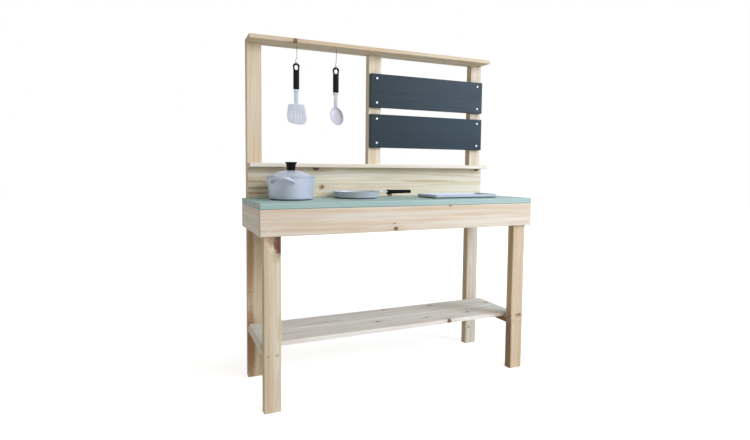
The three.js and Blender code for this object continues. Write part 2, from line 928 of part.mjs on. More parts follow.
// Lid with its knob and the screw that holds the knob
const lidDomeRadius = lidRadius - lidBrim;
const skirtRadius = potMouthRadius - lidSkirtPlay;
const dome = Array.from({ length: domeRings }, (_, i) => {
  const share = 1 - i / (domeRings - 1);
  return [THREE.MathUtils.lerp(knobFootRadius, lidDomeRadius, share), lidRise * (1 - share ** domePower)];
});
const lidBlank = turned([
  [0, lidRise],
  ...dome.map(([radius, height]) => [radius - lidThickness, height]).reverse(),
  [skirtRadius - lidThickness, -lidSkirtDepth],
  [skirtRadius, -lidSkirtDepth],
  [skirtRadius, 0],
  [lidRadius, 0],
  [lidRadius, lidThickness],
  ...dome.map(([radius, height]) => [radius, lidThickness + height]),
  [0, lidThickness + lidRise],
], potSides);
const knobScrewSeat = point(0, 0, lidRise - fitGap);
const knobScrew = turned([
  [0, -knobScrewHeadHeight],
  [knobScrewHead, -knobScrewHeadHeight],
  [knobScrewHead, 0],
  [knobScrewRadius, 0],
  [knobScrewRadius, knobScrewLength],
  [0, knobScrewLength],
], screwSides, knobScrewSeat);
const knobHole = turned([
  [0, -cutOverrun],
  [knobScrewRadius + fitGap, -cutOverrun],
  [knobScrewRadius + fitGap, knobScrewLength + fitGap],
  [0, knobScrewLength + fitGap],
], screwSides, knobScrewSeat);
const knobBlank = turned([
  [0, 0],
  [knobFootRadius, 0],
  [knobNeckRadius, knobHeight - knobLipHeight],
  [knobTopRadius, knobHeight - knobLipHeight + knobRounding],
  [knobTopRadius, knobHeight - knobRounding],
  [knobTopRadius - knobRounding, knobHeight],
  [0, knobHeight],
], knobSides, point(0, 0, lidThickness + lidRise + fitGap));
const lid = new THREE.Group();
lid.position.set(0, 0, potHeight + restGap);
lid.add(
  toMesh("pot_lid", finishes.panMetal, cut(lidBlank, [knobHole])),
  toMesh("lid_knob", finishes.blackPlastic, cut(knobBlank, [knobHole])),
  toMesh("lid_knob_screw", finishes.screwSteel, knobScrew),
);
pot.add(lid);

// Pan with a flat metal neck and a grip
const panSizes = {
  baseRadius: panBaseRadius,
  wallRadius: panRimRadius - panLip,
  rimRadius: panRimRadius,
  height: panHeight,
  wall: panWall,
  cornerRadius: panCornerRadius,
  lipHeight: panLip,
};
const gripStart = panRimRadius + neckLength;
const neckHeight = panHeight - neckDrop;
const neckEnd = gripStart + neckTang;
const neckStrap = box(
  point(panBaseRadius, -neckWidth / 2, neckHeight - neckThickness / 2),
  point(neckEnd, neckWidth / 2, neckHeight + neckThickness / 2),
);
const neckSocket = box(
  point(gripStart - cutOverrun, -neckWidth / 2 - fitGap, neckHeight - neckThickness / 2 - fitGap),
  point(neckEnd + fitGap, neckWidth / 2 + fitGap, neckHeight + neckThickness / 2 + fitGap),
);
const gripDepth = gripThickness - 2 * gripRounding;
const grip = new THREE.ExtrudeGeometry(roundedRectangle(gripLength, gripWidth, gripWidth / 2 - gripFlat), {
  depth: gripDepth,
  curveSegments: cornerSteps,
  bevelThickness: gripRounding,
  bevelSize: gripRounding,
  bevelOffset: -gripRounding,
  bevelSegments: 2,
});
grip.translate(gripLength / 2, 0, -gripDepth / 2);
reshape(grip, (vertex) => {
  vertex.z *= THREE.MathUtils.lerp(1, gripEndThickness / gripThickness, vertex.x / gripLength);
});
grip.translate(gripStart, 0, neckHeight);
const pan = new THREE.Group();
pan.position.set(panX, backsplashFront - panBackGap - panRimRadius, worktopHeight + restGap);
pan.add(
  toMesh("pan_body", finishes.panMetal, turned(vesselProfile(panSizes), panSides)),
  toMesh("pan_neck", finishes.panMetal, cut(neckStrap, [vesselBlank(panSizes, panSides)])),
  toMesh("pan_grip", finishes.blackPlastic, cut(toSolid(grip), [neckSocket])),
);

// Shallow tray with a lip all round
function traySlab(inset, bottom, top) {
  const shape = roundedRectangle(trayLength - 2 * inset, trayDepth - 2 * inset, trayCornerRadius - inset);
  const geometry = new THREE.ExtrudeGeometry(shape, {
    depth: top - bottom,
    curveSegments: cornerSteps,
    bevelEnabled: false,
  });
  return toSolid(geometry.translate(0, 0, bottom));
}
const tray = new THREE.Group();
tray.position.set(trayX, front + trayFrontGap + trayDepth / 2, worktopHeight + restGap);
tray.add(toMesh("tray", finishes.panMetal, cut(
  join([traySlab(trayLip, 0, trayHeight), traySlab(0, trayHeight - trayLipThickness, trayHeight)]),
  [traySlab(trayLip + trayWall, trayWall, trayHeight + cutOverrun)],
)));

const mudKitchen = new THREE.Group();
mudKitchen.add(frame, spatula, spoon, pot, pan, tray);

export default mudKitchen;
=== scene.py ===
import math
from functools import partial
import bmesh
import bpy
from mathutils import Euler, Matrix, Vector


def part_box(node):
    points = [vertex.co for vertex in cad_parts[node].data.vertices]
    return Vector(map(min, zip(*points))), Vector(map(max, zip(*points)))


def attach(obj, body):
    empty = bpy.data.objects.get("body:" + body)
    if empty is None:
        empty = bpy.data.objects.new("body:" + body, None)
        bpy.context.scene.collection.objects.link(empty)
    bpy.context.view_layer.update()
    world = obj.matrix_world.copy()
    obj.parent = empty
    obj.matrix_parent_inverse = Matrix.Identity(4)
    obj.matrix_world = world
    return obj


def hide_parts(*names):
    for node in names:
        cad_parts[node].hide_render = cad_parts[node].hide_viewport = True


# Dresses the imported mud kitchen. Metres, +Z up, front facing -Y; sizes in dictionaries are in millimetres.

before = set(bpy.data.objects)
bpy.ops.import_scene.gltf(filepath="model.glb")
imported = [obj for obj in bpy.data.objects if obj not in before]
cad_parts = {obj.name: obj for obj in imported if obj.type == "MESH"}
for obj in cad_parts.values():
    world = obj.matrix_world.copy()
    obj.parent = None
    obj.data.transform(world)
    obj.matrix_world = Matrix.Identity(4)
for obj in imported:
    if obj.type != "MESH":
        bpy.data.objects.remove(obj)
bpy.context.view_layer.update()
scene = bpy.context.scene
scene.view_settings.view_transform = "Standard"
mm = 0.001
upward = Vector((0, 0, 1))
print("frame loaded")


def linked(name, data):
    thing = bpy.data.objects.new(name, data)
    scene.collection.objects.link(thing)
    return thing


def adjusted(thing, **settings):
    for key, value in settings.items():
        setattr(thing, key, value)
    return thing


def meshOf(form, name="part"):
    mesh = bpy.data.meshes.new(name)
    form.to_mesh(mesh)
    return mesh


# Camera
cameraView = {
    "place": (-0.7634, -1.4076, 0.7197), "yaw": -0.3587, "pitch": 0.0575, "roll": 0.0039,
    "optics": {"lens": 21.378, "sensor_width": 36, "shift_x": 0.0627, "shift_y": -0.0282},
}
camera = linked("camera", adjusted(bpy.data.cameras.new("camera"), **cameraView["optics"]))
camera.matrix_world = (
    Matrix.Translation(cameraView["place"])
    @ Matrix.Rotation(cameraView["yaw"], 4, "Z")
    @ Matrix.Rotation(math.pi / 2 - cameraView["pitch"], 4, "X")
    @ Matrix.Rotation(cameraView["roll"], 4, "Z")
)
scene.camera = camera
print("camera placed")


def colour(code):
    parts = [int(code[i:i + 2], 16) / 255 for i in (1, 3, 5)]
    return tuple(p / 12.92 if p < 0.04045 else ((p + 0.055) / 1.055) ** 2.4 for p in parts) + (1.0,)


# Node helpers: a value is a number, a vector, a colour code or the socket that feeds the input
def filled(tree, node, values):
    for key, value in values.items():
        if isinstance(value, bpy.types.NodeSocket):
            tree.links.new(value, node.inputs[key])
        else:
            node.inputs[key].default_value = colour(value) if isinstance(value, str) else value
    return node


# Adds a node and gives its outputs
def newNode(tree, kind, values, **settings):
    node = adjusted(tree.nodes.new("ShaderNode" + kind), **settings)
    return filled(tree, node, values).outputs


def calc(operation, tree, *values, clamp=False):
    return newNode(tree, "Math", dict(enumerate(values)), operation=operation, use_clamp=clamp)[0]


def vectorCalc(operation, tree, *values):
    outputs = newNode(tree, "VectorMath", dict(enumerate(values)), operation=operation)
    return outputs[1 if operation in ("DOT_PRODUCT", "LENGTH") else 0]


plus, minus, times, over = (partial(calc, name) for name in ("ADD", "SUBTRACT", "MULTIPLY", "DIVIDE"))
most, power, absolute = (partial(calc, name) for name in ("MAXIMUM", "POWER", "ABSOLUTE"))
shifted, offsetFrom, stretched = (partial(vectorCalc, name) for name in ("ADD", "SUBTRACT", "MULTIPLY"))
dot, lengthOf = (partial(vectorCalc, name) for name in ("DOT_PRODUCT", "LENGTH"))


def scaled(tree, vector, amount):
    return newNode(tree, "VectorMath", {0: vector, "Scale": amount}, operation="SCALE")[0]


def blended(tree, amount, first, second, mode="MIX"):
    values = {0: amount, 6: first, 7: second}
    return newNode(tree, "Mix", values, data_type="RGBA", blend_type=mode)[2]


def ranged(tree, value, low, high, newLow=0, newHigh=1, smooth=False):
    kind = "SMOOTHSTEP" if smooth else "LINEAR"
    values = {0: value, 1: low, 2: high, 3: newLow, 4: newHigh}
    return newNode(tree, "MapRange", values, interpolation_type=kind)[0]


def noise(tree, vector, scale=1, detail=2, roughness=0.5):
    values = {"Vector": vector, "Scale": scale, "Detail": detail, "Roughness": roughness}
    return newNode(tree, "TexNoise", values)[0]


# Noise about zero, for lines that waver and edges that are ragged
def wavering(tree, vector, scale, detail, amount):
    return times(tree, minus(tree, noise(tree, vector, scale, detail), 0.5), amount)


def heightOf(tree, vector):
    return newNode(tree, "SeparateXYZ", {0: vector})[2]


# Gives a shader its colour, its roughness and the relief of its surface
def finished(tree, shader, tone, rough, height, distance, strength):
    normal = newNode(tree, "Bump", {"Height": height, "Distance": distance, "Strength": strength})[0]
    filled(tree, shader, {"Base Color": tone, "Roughness": rough, "Normal": normal})


def newGroup(name, inputs, outputs):
    tree = bpy.data.node_groups.new(name, "ShaderNodeTree")
    for side, sockets in (("INPUT", inputs), ("OUTPUT", outputs)):
        for socketName, value in sockets.items():
            kind = {float: "Float", tuple: "Vector", str: "Color"}[type(value)]
            socket = tree.interface.new_socket(name=socketName, in_out=side, socket_type="NodeSocket" + kind)
            if side == "INPUT":
                socket.default_value = colour(value) if kind == "Color" else value
    return tree, tree.nodes.new("NodeGroupInput").outputs, tree.nodes.new("NodeGroupOutput")


def useGroup(tree, group, values):
    return newNode(tree, "Group", values, node_tree=group)


def newMaterial(name, values):
    material = bpy.data.materials.new(name)
    material.use_nodes = True
    tree = material.node_tree
    shader = filled(tree, tree.nodes["Principled BSDF"], values)
    return material, tree, shader, newNode(tree, "TexCoord", {})


# Studio
studio = {
    "ambient": {0: "#fffdfa", 1: 0.25},
    "floor": {"Base Color": "#e2e2e2", "Roughness": 0.9, "Specular IOR Level": 0},
    "floorLift": (0.7, 2.4, 0.72, 1),  # from and to, and the glow there
    "floorHalf": 12,
    "lamps": {  # place, aim, size, power, tint
        "key": ((2.4, -2.1, 2.2), (0.1, 0, 0.6), 1.5, 71, "#e6eeff"),
        "glow": ((2.45, -2.2, 1.3), (0.3, 0, 0.8), 0.6, 15, "#c6dbff"),
        "fill": ((0.6, -3.2, 1.9), (0, 0, 0.6), 2.2, 33, "#fff1dc"),
        "top": ((0.3, -0.9, 3.6), (0, 0, 0.6), 2.2, 14, "#ffffff"),
        "side": ((-2.8, 0.9, 0.8), (-0.2, 0, 0.6), 1.4, 5, "#fff6ea"),
    },
}


# A factor of 1 for rays that show the backdrop: camera, glossy and transmission rays
def backdropRays(tree):
    path = newNode(tree, "LightPath", {})
    seen = most(tree, path["Is Camera Ray"], path["Is Glossy Ray"])
    return most(tree, seen, path["Is Transmission Ray"])


world = bpy.data.worlds.new("studioWorld")
scene.world = world
world.use_nodes = True
worldTree = world.node_tree
worldTree.nodes.clear()
ambient = newNode(worldTree, "Background", studio["ambient"])[0]
white = newNode(worldTree, "Background", {0: "#ffffff", 1: 1})[0]
sky = newNode(worldTree, "MixShader", {0: backdropRays(worldTree), 1: ambient, 2: white})[0]
newNode(worldTree, "OutputWorld", {0: sky})

for lampName, (place, aim, size, watts, tint) in studio["lamps"].items():
    light = adjusted(bpy.data.lights.new(lampName, "AREA"), size=size, energy=watts, color=colour(tint)[:3])
    turn = (Vector(aim) - Vector(place)).to_track_quat("-Z", "Y").to_euler()
    adjusted(linked(lampName, light), location=place, rotation_euler=turn)

floorMaterial, floorTree, floorShader, floorCoordinates = newMaterial("paleFloor", studio["floor"])
away = lengthOf(floorTree, floorCoordinates["Object"])
rising = ranged(floorTree, away, *studio["floorLift"], smooth=True)
liftAmount = times(floorTree, backdropRays(floorTree), rising)
lift = newNode(floorTree, "Emission", {0: "#ffffff", 1: liftAmount})[0]
floorSum = newNode(floorTree, "AddShader", {0: floorShader.outputs[0], 1: lift})[0]
filled(floorTree, floorTree.nodes["Material Output"], {0: floorSum})
floorForm = bmesh.new()
bmesh.ops.create_grid(floorForm, x_segments=1, y_segments=1, size=studio["floorHalf"])
floorMesh = meshOf(floorForm, "floor")
floorMesh.materials.append(floorMaterial)
linked("floor", floorMesh)
print("studio lit")

# Sawn softwood. A stretch is the scale of a noise along the grain and across it
timberLook = {
    "driftStretch": (2.2, 11, 11), "fibreStretch": (9, 1100, 1100), "streakStretch": (1.6, 75, 75),
    "heartStretch": (3.5, 34, 34), "heartRange": (0.5, 0.72), "heart": 0.2, "unevenScale": 0.45,
    "uneven": 2.2, "lateStart": 0.35, "latePeak": 0.93, "weakestYear": 0.35, "streakRange": (0.36, 0.66),
    "contrast": 0.34, "fibreShade": (0.3, 0.7, 0.93, 1.04), "endRange": (0.6, 0.9), "leftShadeRange": (0.4, 0.9),
    "roughness": (0.2, 0.8, 0.58, 0.74), "knotGloss": 0.2, "bump": (0.00025, 0.6), "IOR": 1.42,
    "relief": {"Fibre": 0.6, "Late": 0.5, "Rim": 0.8},
    "layers": {"Halo": (0.35, "LateColour"), "Core": (0.92, "KnotColour"), "Rim": (0.75, "RimColour"),
               "End": (0.3, "EndColour")},
    "grain": "x", "spacing": 3.4, "waver": 5, "tilt": (0, 0.006, 0.004),
}
knotLook = {
    "depth": 70, "thinnest": 0.05, "raggedScale": 260, "ragged": 0.5, "coreLength": 1.3,
    "coreEdge": (0.8, 1.05), "rimAt": 0.98, "rimWidth": 0.3, "haloLength": 2.8, "haloReach": 2, "push": 0.8,
}
stainLook = {"raggedScale": 130, "ragged": 0.9, "edge": (0.45, 1.1)}
handlingLook = {"patchNoise": (4, 0.6), "patchRange": (0.35, 0.68), "gritScale": 60}
origin = (0.0, 0.0, 0.0)


# Growth rings round a pith line along X, with fibres and broad streaks that run along it
def makeGrowthRings():
    look = timberLook
    inputs = {"Vector": origin, "Spacing": 0.003, "Waver": 0.003, "Seed": 0.0}
    tree, given, result = newGroup("growthRings", inputs, {"Late": 0.0, "Fibre": 0.0, "Streak": 0.0})
    vector, seed = given["Vector"], given["Seed"]
    seedVector = newNode(tree, "CombineXYZ", {0: seed, 1: seed})[0]
    driftPlace = shifted(tree, stretched(tree, vector, look["driftStretch"]), seedVector)
    drift = wavering(tree, driftPlace, 1, 1, given["Waver"])
    across = lengthOf(tree, stretched(tree, vector, (0, 1, 1)))
    count = over(tree, plus(tree, across, times(tree, drift, 2)), given["Spacing"])
    unevenValues = {"W": count, "Scale": look["unevenScale"], "Detail": 1}
    uneven = newNode(tree, "TexNoise", unevenValues, noise_dimensions="1D")[0]
    phase = plus(tree, plus(tree, count, times(tree, uneven, look["uneven"])), seed)
    share = calc("FRACT", tree, phase)
    rise = ranged(tree, share, look["lateStart"], look["latePeak"], smooth=True)
    fall = ranged(tree, share, look["latePeak"], 1, 1, 0)
    year = newNode(tree, "TexWhiteNoise", {"W": calc("FLOOR", tree, phase)}, noise_dimensions="1D")[0]
    strength = ranged(tree, year, 0, 1, look["weakestYear"], 1)
    streakPlace = shifted(tree, stretched(tree, vector, look["streakStretch"]), seedVector)
    filled(tree, result, {
        "Late": times(tree, times(tree, rise, fall), strength),
        "Fibre": noise(tree, stretched(tree, vector, look["fibreStretch"]), detail=3),
        "Streak": noise(tree, streakPlace, detail=3, roughness=0.6),
    })
    return tree


# One knot: a branch along an axis, which pushes the grain aside and adds to the masks of the knots before it
def makeKnot():
    look = knotLook
    inputs = {
        "Vector": origin, "Centre": origin, "Branch": (0, 1, 0), "Grain": (1, 0, 0),
        "Radius": 0.005, "Core": 0.0, "Rim": 0.0, "Halo": 0.0,
    }
    outputs = {"Vector": origin, "Core": 0.0, "Rim": 0.0, "Halo": 0.0}
    tree, given, result = newGroup("knot", inputs, outputs)
    vector, branch, grain = given["Vector"], given["Branch"], given["Grain"]
    offset = offsetFrom(tree, vector, given["Centre"])
    along = dot(tree, offset, branch)
    flat = offsetFrom(tree, offset, scaled(tree, branch, along))
    run = dot(tree, flat, grain)
    aside = offsetFrom(tree, flat, scaled(tree, grain, run))
    asideSquare = power(tree, lengthOf(tree, aside), 2)
    taper = minus(tree, 1, over(tree, absolute(tree, along), look["depth"] * mm))
    radius = times(tree, given["Radius"], most(tree, taper, look["thinnest"]))

    def distance(length, reach):
        runSquare = power(tree, over(tree, run, length), 2)
        whole = calc("SQRT", tree, plus(tree, runSquare, asideSquare))
        return over(tree, over(tree, whole, radius), reach)

    ragged = wavering(tree, vector, look["raggedScale"], 2, look["ragged"])
    near = plus(tree, distance(look["coreLength"], 1), ragged)
    fromRim = absolute(tree, minus(tree, near, look["rimAt"]))
    haloSquare = power(tree, distance(look["haloLength"], look["haloReach"]), 2)
    masks = {
        "Core": ranged(tree, near, *look["coreEdge"], 1, 0, smooth=True),
        "Rim": ranged(tree, fromRim, 0, look["rimWidth"], 1, 0, smooth=True),
        "Halo": calc("EXPONENT", tree, times(tree, haloSquare, -1)),
    }
    push = scaled(tree, aside, times(tree, masks["Halo"], look["push"]))
    filled(tree, result, {name: most(tree, given[name], mask) for name, mask in masks.items()})
    filled(tree, result, {"Vector": offsetFrom(tree, vector, push)})
    return tree


# The colours, roughness and relief of bare sawn timber, with painted shade multiplied onto the faces that
# look towards -X
def makeTimber():
    look = timberLook
    inputs = {
        "Late": 0.0, "Fibre": 0.0, "Streak": 0.0, "Core": 0.0, "Rim": 0.0, "Halo": 0.0, "End": 0.0,
        "Heart": 0.0, "Stain": 0.0, "Side": 0.0, "Contrast": 0.0, "Pale": "#efead7", "Warm": "#e2d0af",
        "LateColour": "#c4a276", "HeartColour": "#cfa587", "StainColour": "#8a5a44", "KnotColour": "#664a33",
        "RimColour": "#382820", "EndColour": "#a98a64", "LeftShadeColour": "#ffffff",
    }
    tree, given, result = newGroup(
        "bareTimber", inputs, {"Color": "#ffffff", "Roughness": 0.0, "Height": 0.0})
    streak = ranged(tree, given["Streak"], *look["streakRange"], smooth=True)
    tone = blended(tree, streak, given["Pale"], given["Warm"])
    for key in ("Heart", "Stain"):
        tone = blended(tree, given[key], tone, given[key + "Colour"])
    tone = blended(tree, times(tree, given["Late"], given["Contrast"]), tone, given["LateColour"])
    fibreShade = ranged(tree, given["Fibre"], *look["fibreShade"])
    shade = newNode(tree, "CombineColor", {0: fibreShade, 1: fibreShade, 2: fibreShade})[0]
    tone = blended(tree, 1, tone, shade, "MULTIPLY")
    for key, (strength, tint) in look["layers"].items():
        tone = blended(tree, times(tree, given[key], strength), tone, given[tint])
    rough = ranged(tree, given["Fibre"], *look["roughness"])
    fibre, late, rim = (times(tree, given[key], share) for key, share in look["relief"].items())
    filled(tree, result, {
        # painted shade: the side tone darkens the faces that look towards -X
        "Color": blended(tree, given["Side"], tone, given["LeftShadeColour"], "MULTIPLY"),
        "Roughness": minus(tree, rough, times(tree, given["Core"], look["knotGloss"])),
        "Height": minus(tree, plus(tree, fibre, late), rim),
    })
    return tree


# A soft-edged stain with ragged ends, for flames of resin and heartwood
def makeStain():
    look = stainLook
    inputs = {"Vector": origin, "Centre": origin, "Reach": (0.01, 0.01, 0.01)}
    tree, given, result = newGroup("stain", inputs, {"Mask": 0.0})
    offset = offsetFrom(tree, given["Vector"], given["Centre"])
    ragged = wavering(tree, given["Vector"], look["raggedScale"], 3, look["ragged"])
    distance = plus(tree, lengthOf(tree, vectorCalc("DIVIDE", tree, offset, given["Reach"])), ragged)
    filled(tree, result, {"Mask": ranged(tree, distance, *look["edge"], 1, 0, smooth=True)})
    return tree


# Soft patches from handling, for roughness and slight changes of tone
def makeHandling():
    look = handlingLook
    inputs = {"Vector": origin, "Scale": 20.0}
    tree, given, result = newGroup("handling", inputs, {"Patches": 0.0, "Grit": 0.0})
    patches = noise(tree, given["Vector"], given["Scale"], *look["patchNoise"])
    filled(tree, result, {
        "Patches": ranged(tree, patches, *look["patchRange"], smooth=True),
        "Grit": noise(tree, given["Vector"], times(tree, given["Scale"], look["gritScale"])),
    })
    return tree


growthRings = makeGrowthRings()
knotGroup = makeKnot()
bareTimber = makeTimber()
handling = makeHandling()
stainGroup = makeStain()
print("shared effects made")

# How each way of the grain is turned onto X
grainTurns = {"x": (0, 0, 0), "y": (0, 0, math.pi / 2), "z": (0, -math.pi / 2, 0)}
axes = {"x": Vector((1, 0, 0)), "y": Vector((0, 1, 0)), "z": upward}


def middleOf(node):
    low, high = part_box(node)
    return (low + high) / 2


def seenFrom(tree, vector, place, turn=(0, 0, 0)):
    values = {"Vector": vector, "Location": place, "Rotation": turn}
    return newNode(tree, "Mapping", values, vector_type="TEXTURE")[0]


# The ring, fibre and knot values of one board
def boardValues(tree, coordinates, name, board):
    grain = board.get("grain", timberLook["grain"])
    vector = coordinates["Object"]
    masks = {"Core": 0, "Rim": 0, "Halo": 0}
    for x, y, z, radius, branch in board.get("knots", []):
        found = useGroup(tree, knotGroup, {
            "Vector": vector, "Centre": Vector((x, y, z)) * mm, "Branch": axes[branch], "Grain": axes[grain],
            "Radius": radius * mm, **masks,
        })
        vector = found["Vector"]
        masks = {key: found[key] for key in masks}
    pith = middleOf(name) + Vector(board["pith"]) * mm
    turn = Vector(grainTurns[grain]) + Vector(timberLook["tilt"])
    local = seenFrom(tree, vector, pith, turn)
    spacing, waver = (board.get(key, timberLook[key]) * mm for key in ("spacing", "waver"))
    rings = useGroup(tree, growthRings, {
        "Vector": local, "Spacing": spacing, "Waver": waver, "Seed": board["seed"]})
    facing = absolute(tree, dot(tree, coordinates["Normal"], axes[grain]))
    return local, rings, masks, ranged(tree, facing, *timberLook["endRange"])


def setFinish(name, material):
    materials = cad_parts[name].data.materials
    materials.clear()
    materials.append(material)


# A board's side tone is painted shade, multiplied onto its faces that look towards -X
timberTones = {"Pale": "pale", "Warm": "warm", "LeftShadeColour": "leftShadeTone"}
softwood = {
    "front_apron": {
        "pith": (0, 46, -16), "seed": 3, "spacing": 3.6, "waver": 3, "contrast": 0.15,
        "pale": "#e8e0d1", "warm": "#dcc9ae", "stains": [((-474, -150, 552), (7, 4, 7), 0.8, "#eae6df")],
        "knots": [(-57.8, -150, 542.9, 5.6, "y"), (-63.1, -150, 557.7, 2.2, "y"),
                  (148.5, -150, 613, 3.2, "y")]},
    "left_side_apron": {"grain": "y", "pith": (26, 0, 12), "seed": 5, "pale": "#f4f0e6", "warm": "#e8decd"},
    "right_side_apron": {"grain": "y", "pith": (-30, 0, -10), "seed": 6, "knots": [(500, 40, 580, 4, "x")]},
    "left_front_leg": {
        "grain": "z", "pith": (18, 30, 0), "seed": 8, "spacing": 3, "heart": 0.1, "leftShadeTone": "#e9dcca",
        "contrast": 0.5, "stains": [
            ((-482, -136, 260), (20, 14, 420), 0.4, "#c0a27a"),
            ((-447, -136, 474), (22, 14, 24), 0.6, "#c8ba90"),
            ((-460, -136, 526), (20, 14, 32), 0.7, "#a8775a"),
            ((-440, -136, 514), (24, 20, 48), 1.0, "#5e3224")]},
    "right_front_leg": {
        "grain": "z", "pith": (-34, 40, 0), "seed": 9, "spacing": 2.6, "heart": 0.2, "leftShadeTone": "#fdf3e6",
        "contrast": 0.5, "pale": "#dfcfb7", "warm": "#d0b895", "knots": [(471.5, -136.5, 199, 2.6, "y")],
        "stains": [((434, -122, 60), (6, 60, 190), 0.8, "#7c5a45"),
                   ((468, -136.5, 199), (19, 6, 8), 0.9, "#ab7445")]},
    "left_back_post": {
        "grain": "z", "pith": (26, -6, 0), "seed": 12, "spacing": 3.2, "heart": 0.1, "contrast": 0.45,
        "pale": "#ebddc5", "warm": "#dcc5a1", "stains": [
            ((-480, 122, 440), (20, 26, 200), 0.75, "#b98a5e"),
            ((-478, 122, 120), (22, 30, 170), 0.85, "#a5764d")]},
    "right_back_post": {
        "grain": "z", "pith": (-8, 40, 0), "seed": 14, "spacing": 3.1, "heart": 0.2, "leftShadeTone": "#fbf1e0",
        "contrast": 0.45, "pale": "#e8e5d8", "warm": "#dacdb2", "knots": [(449.8, 123, 69.5, 3, "y")],
        "stains": [((434.5, 136, 250), (7, 60, 420), 0.5, "#c0ae8f")]},
    "middle_upright": {"grain": "z", "pith": (14, 34, 0), "seed": 17, "spacing": 3.2, "heart": 0.1},
    "rear_rail": {"pith": (0, -40, 10), "seed": 19, "knots": [(-210, 111, 580, 5, "y")]},
    "worktop_batten": {"grain": "y", "pith": (10, 0, 40), "seed": 21},
    "backsplash": {
        "pith": (0, 36, 14), "seed": 23, "spacing": 3.8, "contrast": 0.45, "pale": "#f3efdf",
        "warm": "#e6d8b8", "knots": [(-240.5, 111, 738, 8.5, "y"), (-218.1, 111, 669.4, 3, "y"),
                                     (60.6, 111, 638.5, 6.5, "y"), (461, 111, 738, 7, "y")],
        "stains": [((-218.1, 111, 669.4), (13, 9, 11), 0.85, "#a17f58"),
                   ((-470, 111, 690), (60, 9, 6), 0.6, "#b3884a"),
                   ((-455, 111, 668), (70, 9, 7), 0.6, "#b3884a"),
                   ((-462, 111, 650), (55, 9, 6), 0.6, "#b3884a"),
                   ((230, 111, 690), (150, 9, 4), 0.6, "#bd9a5e")]},
    "mid_shelf": {
        "pith": (0, 22, 26), "seed": 25, "pale": "#f8f4ea", "warm": "#efe3cc",
        "knots": [(330, 90, 747, 4, "z")]},
    "top_shelf": {
        "pith": (0, 30, 24), "seed": 27, "pale": "#e1d7c2", "warm": "#d4be9c",
        "knots": [(-329.5, 72, 1164, 5.5, "z")], "stains": [((-338, 76, 1162), (24, 6, 3), 0.7, "#8c6344")]},
    "left_shelf_bearer": {"grain": "y", "pith": (12, 0, 30), "seed": 29},
    "right_shelf_bearer": {
        "grain": "y", "pith": (-16, 0, 28), "seed": 31, "warm": "#c9ad84", "leftShadeTone": "#94784f"},
    "lower_shelf_front_board": {
        "pith": (0, 12, -38), "seed": 33, "spacing": 3.6, "pale": "#faf8f0", "warm": "#efeadb",
        "knots": [(-56.5, -23.6, 198, 4.2, "z"), (132.6, -43.1, 198, 3.6, "z"), (313.9, -40.1, 198, 4.8, "z"),
                  (197.9, -89.5, 192, 6.2, "y")]},
    "lower_shelf_rear_board": {
        "pith": (0, -20, -36), "seed": 36, "spacing": 3.4, "pale": "#faf8f0", "warm": "#efeadb",
        "knots": [(27.5, 90, 198, 4.6, "z"), (227.3, 78, 198, 4.4, "z"), (465, 36.9, 198, 3.4, "z")]},
}


def dressSoftwood():
    look = timberLook
    for name, board in softwood.items():
        material, tree, shader, coordinates = newMaterial(name + "Fir", {"IOR": look["IOR"]})
        local, rings, masks, end = boardValues(tree, coordinates, name, board)
        patch = noise(tree, stretched(tree, local, look["heartStretch"]), detail=1)
        heart = times(
            tree, ranged(tree, patch, *look["heartRange"], smooth=True), board.get("heart", look["heart"]))
        values = {key: board[tone] for key, tone in timberTones.items() if tone in board}
        stain = 0
        for place, reach, strength, tone in board.get("stains", []):
            spot = {
                "Vector": coordinates["Object"], "Centre": Vector(place) * mm, "Reach": Vector(reach) * mm}
            mask = useGroup(tree, stainGroup, spot)["Mask"]
            values["StainColour"] = blended(tree, mask, values.get("StainColour", tone), tone)
            stain = most(tree, stain, times(tree, mask, strength))
        # Painted shade: the faces that look towards -X are darkened by the board's side tone
        if "leftShadeTone" in board:
            facing = dot(tree, coordinates["Normal"], axes["x"])
            values["Side"] = ranged(tree, times(tree, facing, -1), *look["leftShadeRange"])
        found = useGroup(tree, bareTimber, {
            "End": end, "Heart": heart, "Stain": stain, "Contrast": board.get("contrast", look["contrast"]),
            **dict(rings.items()), **values, **masks,
        })
        finished(tree, shader, found["Color"], found["Roughness"], found["Height"], *look["bump"])
        setFinish(name, material)


dressSoftwood()
print("softwood dressed")

# Painted planks: the grain shows faintly through the coat. "seams" says which long edges meet another plank
painted = {
    "worktop_plank_1": {"pith": (0, 10, -30), "seed": 41, "coat": "mint", "seams": (0, 1)},
    "worktop_plank_2": {"pith": (0, -18, -34), "seed": 43, "coat": "mint", "seams": (1, 1)},
    "worktop_plank_3": {"pith": (0, 6, 30), "seed": 45, "coat": "mint", "seams": (1, 1)},
    "worktop_plank_4": {"pith": (0, 14, -28), "seed": 47, "coat": "mint", "seams": (1, 0)},
    "chalkboard_lower": {"pith": (0, 40, 18), "seed": 51, "coat": "chalk", "spacing": 4.2},
    "chalkboard_upper": {"pith": (0, 38, -22), "seed": 53, "coat": "chalk", "spacing": 4},
}
# A coat's seam tone is painted shade, laid along the seams between planks and along a plank's lower edge
coats = {
    "mint": {
        "body": "#aac6c1", "deep": "#95b3ae", "worn": "#bfd4cf", "end": "#858f8b", "seamShade": "#4d5a58",
        "rough": (0.42, 0.58), "gloss": 0.5},
    "chalk": {
        "body": "#1e303a", "deep": "#192932", "worn": "#2b434e", "end": "#101417", "seamShade": "#191f23",
        "rough": (0.34, 0.44), "gloss": 0.2},
}
paintLook = {
    "IOR": 1.45, "patchScale": 14, "late": 0.75, "patches": 0.16, "end": 0.7, "seamShade": 0.85,
    "underEdgeShade": (0.6, 2.2), "underEdgeShadeStrength": 0.75, "seamShadeReach": (1.2, 5), "relief": (0.7, 0.4),
    "bump": (0.0003, 0.5), "streaks": (0.45, 0.7, 0, 0.55), "fibres": (0.58, 0.75, 0, 0.5),
    "markRange": (0.2, 1.6),
}
